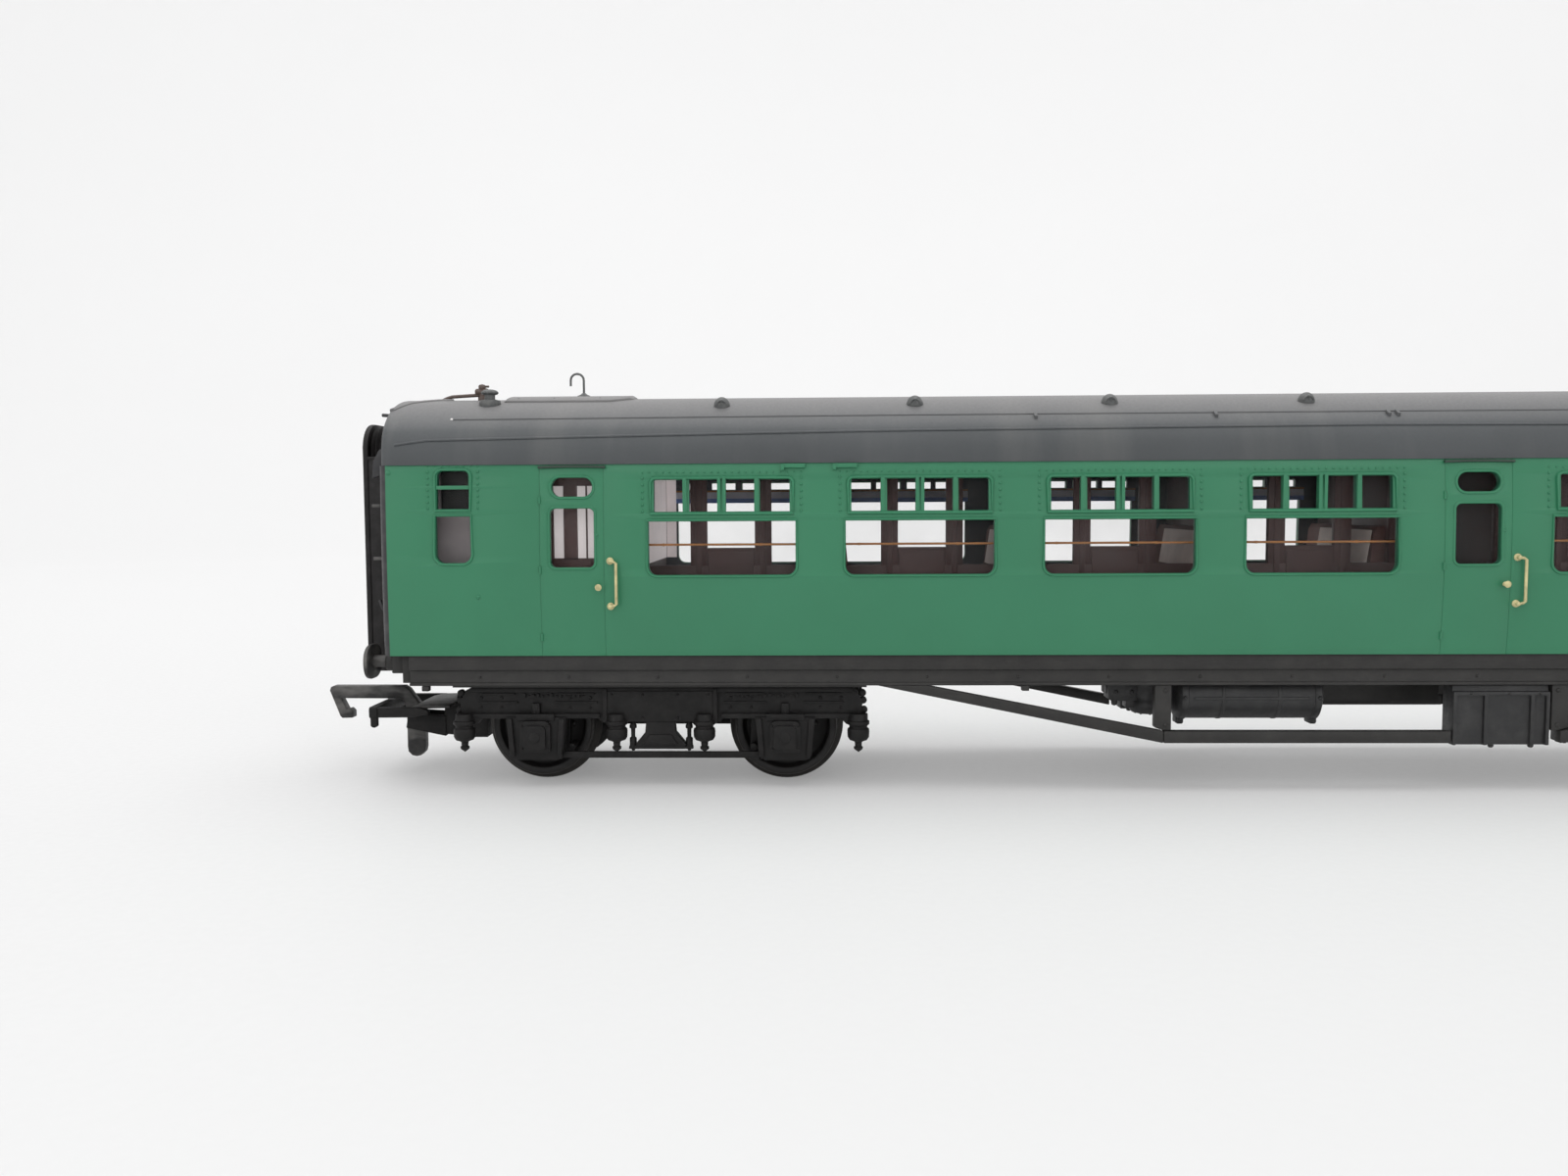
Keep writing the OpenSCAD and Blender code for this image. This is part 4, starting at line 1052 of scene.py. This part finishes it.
def underframe():
    """Frames and truss dressed, the reservoir and vacuum cylinders, bolts, and dark strips over the bogies
    that stand for shade under the solebars.
    """
    dress(["chassis_floor", "solebars", "headstocks"], "underframe", 0.1)
    dress(["truss_rods", "truss_posts", "brake_gear", "solebar_steps"], "underframe", 0.14)
    dress(["battery_boxes"], "tank", 0.12)
    dress(["pivot_screws"], "steel", 0.12)
    tank = Shape()
    x0, x1, y, z, r = -23.3, -4.1, -11.6, 12.4, 3.2
    left_end = [(0, 2.2), (0.15, 2.9), (0.4, r + 0.2), (1.2, r + 0.2), (1.3, r)]
    right_end = [(x1 - a, b) for a, b in reversed(left_end)]
    tank.lathe([(x0 + a, b) for a, b in left_end] + right_end, (0, y, z), "x")
    for x in (x0 + 0.7, x1 - 0.7):
        tank.prism(rounded((x - 0.5, 8.5), (x + 0.5, 9.5), (0.3, 0.3, 0, 0)), "y", y - 0.9, y + 0.9)
        tank.dome((x, y - 3.4, z), (0, -1, 0), 0.3, 0.3)
    for x in (-21.5, -6.1):
        tank.box((x - 0.5, -13, 15.0), (x + 0.5, -10.2, 16.45))
    tank.box((x0 + 2.0, y - 3.3, 12.1), (x1 - 2.0, y - 2.9, 12.5))
    for x in (-17.4, -10.0):
        tank.lathe([(x - 0.25, r), (x - 0.22, r + 0.08), (x + 0.22, r + 0.08), (x + 0.25, r)], (0, y, z), "x")
    piece(tank, "reservoir_tank_turned", "tank", "coach", UNDERFRAME_SLOT, ["reservoir_tank"], 0.06, 50)

    drum = Shape()
    drum_x, drum_y = -26.1, -9
    drum.lathe([(9.5, 1.7), (9.6, 2.1), (9.9, 2.4), (10.3, 2.5), (11.2, 2.5), (11.3, 2.4), (13.2, 2.4),
                (13.3, 2.5), (14.0, 2.5)], (drum_x, drum_y, 0), "z", steps=40)
    for u, v in disc(1.6, 8):
        drum.dome((drum_x + u, drum_y + v, 9.55), (0, 0, -1), 0.2, 0.18)
    drum.prism([(-31.75, 11.6), (-31.4, 11.35), (-26.5, 11.35), (-26.5, 14.0), (-31.75, 14.0)],
               "y", -10.6, -7.4)
    drum.prism([(-29.3, 10.35), (-27.9, 10.2), (-27.6, 11.6), (-29.3, 11.6)], "y", -10.2, -8.0)
    drum.box((-31.3, -10.2, 13.9), (-28.2, -7.8, 16.45))
    for x in (-30.75, -28.6):
        drum.lathe([(10.55, 0.1), (10.7, 0.4), (11.0, 0.45), (11.5, 0.45)], (x, -9.6, 0), "z", steps=16)
        drum.dome((x, -10.6, 12.6), (0, -1, 0), 0.3, 0.24)
    drum.lathe([(-31.9, 0.7), (-31.6, 0.9), (-31.2, 0.9)], (0, drum_y, 12.9), "x", steps=20)
    piece(drum.both_ends(), "vacuum_cylinders_turned", "tank", "coach", UNDERFRAME_SLOT, ["vacuum_cylinders"],
          0.05, 50)

    bolts = Shape()
    for x in range(-120, 121, 12):
        bolts.dome((x + 3, -16.22, 15.5), (0, -1, 0), 0.2, 0.14)
    for x in (17.7, 22.9):
        bolts.lathe([(5.75, 0.22), (5.9, 0.36), (6.35, 0.4)], (x, -14.8, 0), "z", steps=14)
    for x in (14.3, 19.2, 23.2):
        bolts.dome((x, -16.3, 13.15), (0, -1, 0), 0.18, 0.14)
    for x in (-POST_X, POST_X):
        bolts.dome((x, -16.2, 13.6), (0, -1, 0), 0.3, 0.2)
        bolts.dome((x, -16.2, 9.0), (0, -1, 0), 0.3, 0.2)
    piece(bolts.both_ends(), "underframe_bolts", "underframe", "coach", UNDERFRAME_SLOT)

    # Painted shade: dark strips under the solebars stand for the shade over the bogie frames and hide their
    # lit top edges.
    plates = Shape()
    for x0, x1 in ((-121, -65), (65, 121)):
        for side in SIDES:
            y0, y1 = across(side, 14.4, 15.3)
            plates.box((x0, y0, 13.97), (x1, y1, 14.75))
    piece(plates, "bogie_shade_strips", "underframe", "coach", UNDERFRAME_SLOT)


def gangway_loop(half, low, high, r, x, steps=8):
    """A gangway outline at x: square at the bottom, with round top corners."""
    points = [(x, -half, low), (x, half, low)]
    for side, start in ((1, 0), (-1, 90)):
        for i in range(steps + 1):
            a = math.radians(start + 90 * i / steps)
            points.append((x, side * (half - r) + r * math.cos(a), high - r + r * math.sin(a)))
    return points


def gangways():
    """Pleated gangways with their plates and doors, end fittings and buffers."""
    for name, turn in (("left", at()), ("right", HALF_TURN)):
        bellows = Shape()
        start, end, pleats = -134.2, -130.95, 5
        rows = []
        for i in range(2 * pleats + 1):
            x = start + (end - start) * i / (2 * pleats)
            out = 0.62 if i % 2 else 0.0
            rows.append(gangway_loop(7.35 + out, 15.9 - out, 49.3 + out, 3.1 + out, x))
        rows += [gangway_loop(5.2, 17.6, 45.5, 1.5, x) for x in (end, start)]
        bellows.rows(rows + [rows[0]], ends=False)
        for side in SIDES:
            y0, y1 = across(side, 7.5, 8.12)
            bellows.box((start - 0.1, y0, 15.3), (end - 0.5, y1, 45.1))
            y0, y1 = across(side, 7.3, 8.2)
            bellows.box((start - 0.2, y0, 45.0), (end - 0.2, y1, 45.45))
        piece(Shape().join(bellows, turn), f"gangway_pleats_{name}", "gangway", "coach", "gangway_dark",
              [f"gangway_bellows_{name}"], 0.07)
        dress([f"gangway_plate_{name}"], "gangway", 0.22)
    dress(["gangway_doors"], "end_black", 0.12)
    dress(["end_steps"], "worn", 0.1)

    fittings, sockets, heads = Shape(), Shape(), Shape()
    for y in (-11, 11):
        surface = -HALF_LEN + bow_x(y)
        fittings.sweep([(surface + 0.3, y, 23.2), (surface - 0.9, y, 24.4), (surface - 1.35, y, 25.6)],
                       [(-0.55, -0.18), (0.55, -0.18), (0.55, 0.18), (-0.55, 0.18)], (1, 0, 0.5))
    for y in (-13.6, 13.6):
        surface = -HALF_LEN + bow_x(y)
        bracket = [(-1.3, 42.3), (0.6, 42.9), (0.8, 46.0), (-0.2, 46.2), (-1.1, 44.6)]
        fittings.prism([(surface + dx, z) for dx, z in bracket], "y", y - 0.7, y + 0.7)
    for y in (-9.3, 9.3):
        surface = -HALF_LEN + bow_x(y)
        fittings.tube([(surface + 0.5, y, 51.0), (surface - 0.8, y, 51.1)], 0.24)
    for y in (-12, 12):
        sockets.prism(rounded((y - 1.9, 15.7), (y + 1.9, 18.3), (0.3,) * 4), "x", -129.7, -127.9)
        sockets.lathe([(-131.0, 1.05), (-130.9, 1.2), (-130.6, 1.25), (-130.1, 1.2), (-129.6, 1.25)],
                      (0, y, 17.1), "x", steps=32)
        for dy in (-1.55, 1.55):
            for dz in (-1.1, 0.8):
                sockets.dome((-129.7, y + dy, 17.0 + dz), (-1, 0, 0), 0.18, 0.14)
        heads.lathe([(-132.9, 0.85), (-130.15, 0.85)], (0, y, BUFFER_Z), "x", steps=28)
        heads.rows(oval_head(y))
    piece(fittings.both_ends(), "end_fittings", "end_black", "coach", UNDERFRAME_SLOT, ["lamp_brackets"],
          0.08)
    piece(sockets.both_ends(), "buffer_sockets", "underframe", "coach", UNDERFRAME_SLOT, ["buffer_housings"],
          0.06, 50)
    piece(heads.both_ends(), "buffer_oval_heads", "worn", "coach", UNDERFRAME_SLOT, ["buffer_heads"], 0, 50)


def oval_head(y):
    """Rings of a domed buffer head, wider than it is high."""
    rings = []
    for x, k in ((-132.75, 0.55), (-132.8, 0.97), (-133.0, 1.0), (-133.25, 0.985), (-133.42, 0.86),
                 (-133.53, 0.55), (-133.58, 0.02)):
        ring = []
        for c, s in disc(1, 40):
            sideways = 3.1 * k * math.copysign(abs(c) ** 0.8, c)
            ring.append((x, y + sideways, BUFFER_Z + 2.4 * k * math.copysign(abs(s) ** 0.8, s)))
        rings.append(ring)
    return rings


# ---- bogies --------------------------------------------------------------------------------------


FRAME_IN, FRAME_OUT = 11.95, 13.5  # faces of a bogie's side frame


def axlebox(shape, x):
    """Horn plate, axlebox with its cover, and the spring above it, at +Y."""
    shape.prism([(x - 4.1, 9.7), (x - 3.9, 8.0), (x - 3.35, 4.0), (x + 3.35, 4.0), (x + 3.9, 8.0),
                 (x + 4.1, 9.7)], "y", FRAME_IN, 14.3)
    for dx in (-3.2, 3.2):
        top = x + dx * 1.12
        shape.prism([(x + dx - 0.35, 4.4), (x + dx + 0.35, 4.4), (top + 0.35, 9.6), (top - 0.35, 9.6)],
                    "y", 14.2, 14.65)
    shape.prism(rounded((x - 2.1, 5.0), (x + 2.1, 9.3), (0.5, 0.5, 0.9, 0.9)), "y", 14.1, 15.0)
    shape.prism(rounded((x - 1.5, 5.5), (x + 1.5, 8.7), (0.4, 0.4, 0.6, 0.6)), "y", 14.9, 15.5)
    shape.lathe([(15.3, 0.85), (15.55, 0.8), (15.62, 0.5), (15.64, 0)], (x, 0, 7.1), "y", steps=24)
    for dx in (-1.75, 1.75):
        for z in (5.5, 8.7):
            shape.dome((x + dx, 15.0, z), (0, 1, 0), 0.18, 0.14)
    shape.prism(rounded((x - 2.6, 9.3), (x + 2.6, 10.2), (0.2,) * 4), "y", 13.5, 14.6)
    shape.prism(rounded((x - 0.5, 9.8), (x + 0.5, 11.6), (0.1,) * 4), "y", 13.5, 14.1)
    shape.box((x - 2.9, 12.2, 3.75), (x + 2.9, 13.9, 4.3))


def spring_pot(shape, x):
    """A stubby pot with collars and a bolt that hangs to a point."""
    shape.lathe([(10.2, 1.15), (9.3, 1.25), (9.2, 1.5), (8.75, 1.5), (8.6, 1.25), (8.3, 1.2), (8.15, 1.45),
                 (7.8, 1.5), (7.0, 1.45), (6.6, 1.2), (6.45, 0.75), (6.3, 0.5), (5.75, 0.45), (5.65, 0.62),
                 (5.35, 0.6), (5.15, 0.35), (4.95, 0.1), (4.9, 0)], (x, 13.9, 0), "z", steps=24)
    shape.box((x - 1.3, 12.3, 8.6), (x + 1.3, 13.6, 10.0))


def bogie_side():
    """One side frame of a bogie, at +Y."""
    one = Shape()
    one.prism([(-27.3, 9.6), (-27.5, 11.9), (-26.6, 13.4), (-25.6, 13.85), (25.6, 13.85), (26.6, 13.4),
               (27.5, 11.9), (27.3, 9.6), (8.6, 9.55), (8.2, 9.0), (-8.2, 9.0), (-8.6, 9.55)],
              "y", FRAME_IN, FRAME_OUT + 0.1)
    one.prism([(-27.1, 9.5), (-27.1, 10.15), (-8.3, 10.15), (-8.3, 9.5)], "y", FRAME_OUT, 14.0)
    one.prism([(8.3, 9.5), (8.3, 10.15), (27.1, 10.15), (27.1, 9.5)], "y", FRAME_OUT, 14.0)
    one.prism([(-26.4, 13.1), (-25.8, 13.75), (25.8, 13.75), (26.4, 13.1)], "y", FRAME_OUT, 14.05)
    for x in (-AXLE_OFFSET, AXLE_OFFSET):
        axlebox(one, x)
    one.prism(rounded((-7.2, 9.1), (7.2, 13.3), (0.2,) * 4), "y", FRAME_OUT, 14.2)
    for x in (-6.6, -2.4, 2.4, 6.6):
        for z in (9.6, 12.8):
            one.dome((x, 14.2, z), (0, 1, 0), 0.2, 0.15)
    for x in (-7.5, 7.5):
        one.box((x - 0.3, FRAME_OUT, 9.0), (x + 0.3, 14.3, 13.6))
    for x in (-24.6, -21.8, -12.4, -9.6, 9.6, 12.4, 21.8, 24.6):
        one.dome((x, FRAME_OUT + 0.1, 12.3), (0, 1, 0), 0.26, 0.2)
        one.dome((x, FRAME_OUT + 0.1, 11.0), (0, 1, 0), 0.2, 0.14)
    for x0, x1 in ((-25.0, -19.5), (-14.5, -8.6), (8.6, 14.5), (19.5, 25.0)):
        one.box((x0, FRAME_OUT, 11.55), (x1, 13.85, 11.8))
        one.box((x0 + 0.4, FRAME_OUT, 12.75), (x1 - 0.4, 13.9, 13.0))
    for i in range(14):  # uneven blocks along the top of the frame
        x = -18.8 + 0.62 * i
        one.box((x, FRAME_OUT, 12.3 + 0.1 * (i * 7 % 4)), (x + 0.36, 13.84, 12.95 - 0.12 * (i * 5 % 3)))
        one.box((-x - 0.36, FRAME_OUT, 12.3 + 0.1 * (i * 3 % 4)), (-x, 13.84, 12.95 - 0.12 * (i * 7 % 3)))
    for i in range(9):
        one.dome((-25.4 + 1.7 * i, 13.9, 13.35), (0, 1, 0), 0.16, 0.14, steps=8)
        one.dome((25.4 - 1.7 * i, 13.9, 13.35), (0, 1, 0), 0.16, 0.14, steps=8)
    for x in (-26.9, -6.0, 6.0, 26.9):
        spring_pot(one, x)
    for x in (-26.9, 26.9):
        way = math.copysign(1, x)
        one.prism([(x - way * 2.6, 9.7), (x + way * 1.0, 9.7), (x + way * 1.2, 8.9), (x - way * 1.6, 8.7)],
                  "y", 12.2, 13.9)
        for dx, z in ((1.25, 11.9), (1.45, 10.6), (1.1, 12.9)):
            one.lathe([(12.4, 0.45), (13.3, 0.5), (13.4, 0.3)], (x + way * dx * 0.55, 0, z), "y", steps=12)
    one.prism([(-3.3, 5.5), (3.3, 5.5), (3.35, 6.1), (2.1, 7.6), (1.95, 9.1), (-1.95, 9.1), (-2.1, 7.6),
               (-3.35, 6.1)], "y", 12.5, 14.0)
    one.prism([(-2.4, 5.9), (2.4, 5.9), (1.5, 7.3), (-1.5, 7.3)], "y", 13.9, 14.2)
    for x in (-3.85, 3.85):
        one.lathe([(9.3, 0.32), (8.7, 0.34), (8.5, 0.5), (8.1, 0.5), (8.0, 0.3), (6.9, 0.28), (6.7, 0.48),
                   (5.6, 0.5), (5.3, 0.3), (4.95, 0.2)], (x, 13.2, 0), "z", steps=16)
    one.box((-4.4, 12.9, 5.25), (4.4, 13.6, 5.65))
    one.prism(rounded((-13.6, 4.0), (13.6, 4.85), (0.3,) * 4), "y", 12.95, 13.55)
    return one


def bogies():
    """Both bogie frames with their cross members, bearings and couplings, and the four wheelsets."""
    cross = Shape()
    cross.box((-4, -12, 9.8), (4, 12, 13.2))
    cross.lathe([(9.8, 4.0), (13.7, 4.0), (13.85, 3.8), (13.9, 1.75), (9.9, 1.7), (9.8, 1.7)], (0, 0, 0), "z")
    for x in (-27.4, 26.2):
        cross.box((x, -12, 9.5), (x + 1.2, 12, 11.8))
    for x in (-12.6, 12.6):
        cross.tube([(x, -12, 5.2), (x, 12, 5.2)], 0.5)
        for side in SIDES:
            out = math.copysign(1, x)
            cross.prism([(x - 0.6, 5.0), (x - 0.4, 9.9), (x + out * 0.5, 9.9), (x + out * 0.9, 7.5),
                         (x + out * 0.6, 5.0)], "y", *across(side, 9.0, 10.4))
    cross.box((-31.2, -2.6, 4.8), (-26.8, 2.6, 11))
    side = bogie_side()
    side.mirror_y()
    side.join(cross)
    for name, turn, numbers in (("left", at(-BOGIE_X), (1, 2)), ("right", at(BOGIE_X, turn=180), (4, 3))):
        body = f"bogie_{name}"
        piece(Shape().join(side, turn), f"bogie_frame_detailed_{name}", "bogie", body, "bogie_black",
              [f"bogie_frame_{name}"], 0.09, 45)
        dress([f"bearing_cups_{name}"], "brass", 0.05)
        dress([f"hook_pin_{name}"], "steel", 0.05)
        coupling(name, turn)
    for number in range(1, 5):
        x = (-BOGIE_X if number < 3 else BOGIE_X) + (-AXLE_OFFSET if number % 2 else AXLE_OFFSET)
        wheelset(number, x)


def coupling(name, turn):
    """The tension lock coupling: bar, worn top plate and forked tail, with a hook that lifts."""
    bar = Shape()
    bar.prism(rounded((-7.2, 8.3), (7.2, 9.95), (0.45,) * 4), "x", -42.6, -41.4)
    for side in SIDES:
        bar.prism([(-42.0, 8.4), (-42.0, 9.85), (-35.6, 9.85), (-34.2, 9.5), (-34.0, 8.9), (-36.5, 8.45)],
                  "y", *across(side, 6.0, 7.05))
        bar.prism([(-42.5, 8.6), (-42.5, 7.2), (-42.2, 6.95), (-41.8, 6.95), (-41.5, 7.2), (-41.5, 8.6)],
                  "y", *across(side, 6.15, 6.95))
        bar.prism([(-38.9, 6.1), (-38.6, 8.0), (-37.2, 8.15), (-33.0, 7.9), (-33.0, 4.9), (-34.5, 5.2)],
                  "y", *across(side, 1.28, 2.35))
    bar.prism([(-37.5, 9.3), (-37.3, 9.6), (-35.6, 9.98), (-31.3, 10.05), (-31.3, 9.6), (-35.4, 9.5)],
              "y", -5.9, 5.9, 1)
    bar.prism([(-33.2, 5.2), (-31.25, 5.0), (-31.25, 9.8), (-33.2, 9.7)], "y", -2.2, 2.2)
    piece(Shape().join(bar, turn), f"coupling_bar_{name}", ["bogie", "worn"], f"bogie_{name}", "bogie_black",
          [f"coupling_{name}"], 0.12)

    hook = Shape()
    beam = [(-50.65, 11.4), (-50.5, 11.9), (-50.1, 12.08), (-39.6, 12.08), (-38.9, 11.6), (-36.75, 8.6),
            (-36.6, 7.8), (-36.6, 3.0), (-36.75, 2.3), (-37.3, 1.75), (-37.95, 1.6), (-38.6, 1.75),
            (-39.15, 2.3), (-39.25, 3.0), (-39.25, 8.6), (-39.6, 9.8), (-40.1, 10.2), (-49.0, 10.25),
            (-48.2, 8.6),
            (-47.75, 8.75), (-47.3, 8.3), (-47.3, 7.35), (-48.9, 7.3), (-49.2, 7.6)]
    hook.prism(beam, "y", -0.84, 0.84)
    hook.lathe([(-1.02, 0.7), (-0.84, 0.95), (0.84, 0.95), (1.02, 0.7)], (-37.9, 0, 7.2), "y", steps=24)
    piece(Shape().join(hook, turn), f"hook_moulded_{name}", "worn", f"hook_arm_{name}", "bogie_black",
          [f"hook_{name}"], 0.12)


def wheelset(number, x):
    """Two wheels turned to their tread and flange, on a steel axle with pointed ends."""
    body = f"wheelset_{number}"
    wheels = Shape()
    profile = [(0.0, 1.05), (0.02, 5.3), (0.25, 5.6), (0.25, 6.3), (0.0, 6.6), (0.02, 7.45), (0.16, 7.78),
               (0.34, 7.93), (0.52, 7.88), (0.7, 7.55), (0.85, 7.25), (1.1, 7.09), (1.4, 7.05), (2.55, 7.0),
               (2.75, 6.9), (2.8, 6.75), (2.8, 6.1), (2.7, 5.95), (1.75, 5.75), (1.6, 5.5), (1.6, 2.7),
               (1.75, 2.3), (2.6, 2.1), (2.8, 1.95), (2.8, 1.05)]
    steps = 72
    for side in SIDES:
        wheels.lathe([(side * (BACK_Y + a), r) for a, r in profile], (x, 0, AXLE_Z), "y", 0, steps)
    faces_each = steps * (len(profile) - 1) + 2
    for face in range(len(wheels.faces)):
        if 6 <= face % faces_each // steps <= 14:  # the flange and tread
            wheels.marks[face] = 1
    for side in SIDES:
        for i in range(6):
            a = math.pi * 2 * i / 6
            place = (x + 4.1 * math.cos(a), side * 8.87, AXLE_Z + 4.1 * math.sin(a))
            wheels.dome(place, (0, side, 0), 0.4, 0.22)
    piece(wheels, f"wheels_turned_{number}", ["wheel", "tread"], body, "wheel_dark", [f"wheels_{number}"],
          0, 50)
    axle = Shape()
    half_axle = [(11.3, 1.0), (11.5, 0.9), (11.6, 0.5), (12.3, 0.5), (12.8, 0.1)]
    other_half = [(-along, r) for along, r in reversed(half_axle)]
    axle.lathe(other_half + half_axle, (x, 0, AXLE_Z), "y", steps=32)
    piece(axle, f"axle_turned_{number}", "axle", body, "axle_steel", [f"axle_{number}"], 0, 50)


# ---- stage ---------------------------------------------------------------------------------------


TABLE_GLOW, BACKDROP_GLOW = 0.24, 0.41


def stage():
    """A pale table that curves up all round, soft light from above and in front, and the camera."""
    ground = Shape()
    rows = []
    flat, bend = 800, 700
    profile = [(0.02, 0), (400, 0), (flat, 0)]
    for i in range(1, 11):
        a = math.radians(9 * i)
        profile.append((flat + bend * math.sin(a), bend - bend * math.cos(a)))
    profile += [(1500, 900), (1500, 2300)]
    for r, z in profile:
        rows.append([(x, y, z - 0.02) for x, y in disc(r, 96)])
    ground.rows(rows, ends=False)
    M["table"] = paint("pale_table", (190, 190, 190), 0.6, 0.006, 4, 900, 0.01, 0.2)
    tree = M["table"].node_tree
    split = tree.nodes.new("ShaderNodeSeparateXYZ")
    tree.links.new(tree.nodes["Texture Coordinate"].outputs["Object"], split.inputs["Vector"])
    shader = tree.nodes["Principled BSDF"]
    shader.inputs["Emission Color"].default_value = (*linear((251, 251, 251)), 1)
    tree.links.new(remap(tree, split.outputs["Y"], TABLE_GLOW, BACKDROP_GLOW, 0.1, 1.4),
                   shader.inputs["Emission Strength"])
    table = ground.mesh("table", ["table"])
    table.data.polygons.foreach_set("use_smooth", [True] * len(table.data.polygons))

    world = bpy.data.worlds.new("room")
    world.use_nodes = True
    background = world.node_tree.nodes["Background"].inputs
    background["Color"].default_value = (*linear((248, 247, 248)), 1)
    background["Strength"].default_value = 0.6
    bpy.context.scene.world = world

    def soft_light(name, place, size, power):
        """A round area light that points at the coach."""
        light = bpy.data.lights.new(name, "AREA")
        light.shape, light.size, light.energy = "DISK", size, power
        made = bpy.data.objects.new(name, light)
        bpy.context.scene.collection.objects.link(made)
        made.location = place
        made.rotation_euler = (Vector((0, 0, 0.03)) - Vector(place)).to_track_quat("-Z", "Y").to_euler()

    soft_light("overhead", (-0.1, 0.0, 1.2), 1.8, 13)
    soft_light("front_left", (-0.7, -1.0, 0.6), 0.8, 2)
    soft_light("front_right", (0.7, -1.0, 0.6), 0.8, 2)

    yaw, pitch, roll = 0.0316, 0.0686, -0.00574
    ahead = Vector((-math.sin(yaw) * math.cos(pitch), math.cos(yaw) * math.cos(pitch), -math.sin(pitch)))
    right = Vector((math.cos(yaw), math.sin(yaw), 0))
    up = right.cross(ahead)
    tilted = right * math.cos(roll) + up * math.sin(roll)
    above = up * math.cos(roll) - right * math.sin(roll)
    lens = bpy.data.cameras.new("camera")
    lens.sensor_width, lens.lens, lens.clip_start, lens.clip_end = 36, 28.97, 0.01, 20
    camera = bpy.data.objects.new("camera", lens)
    bpy.context.scene.collection.objects.link(camera)
    camera.matrix_world = Matrix.Translation((-0.07071, -0.1834, 0.03889)) @ Matrix(
        [(tilted[i], above[i], -ahead[i]) for i in range(3)]).to_4x4()
    bpy.context.scene.camera = camera
    bpy.context.scene.view_settings.view_transform = "Standard"


body_shell()
body_trim()
roof()
roof_ribs()
roof_fittings()
door_furniture()
interior()
underframe()
gangways()
bogies()
stage()
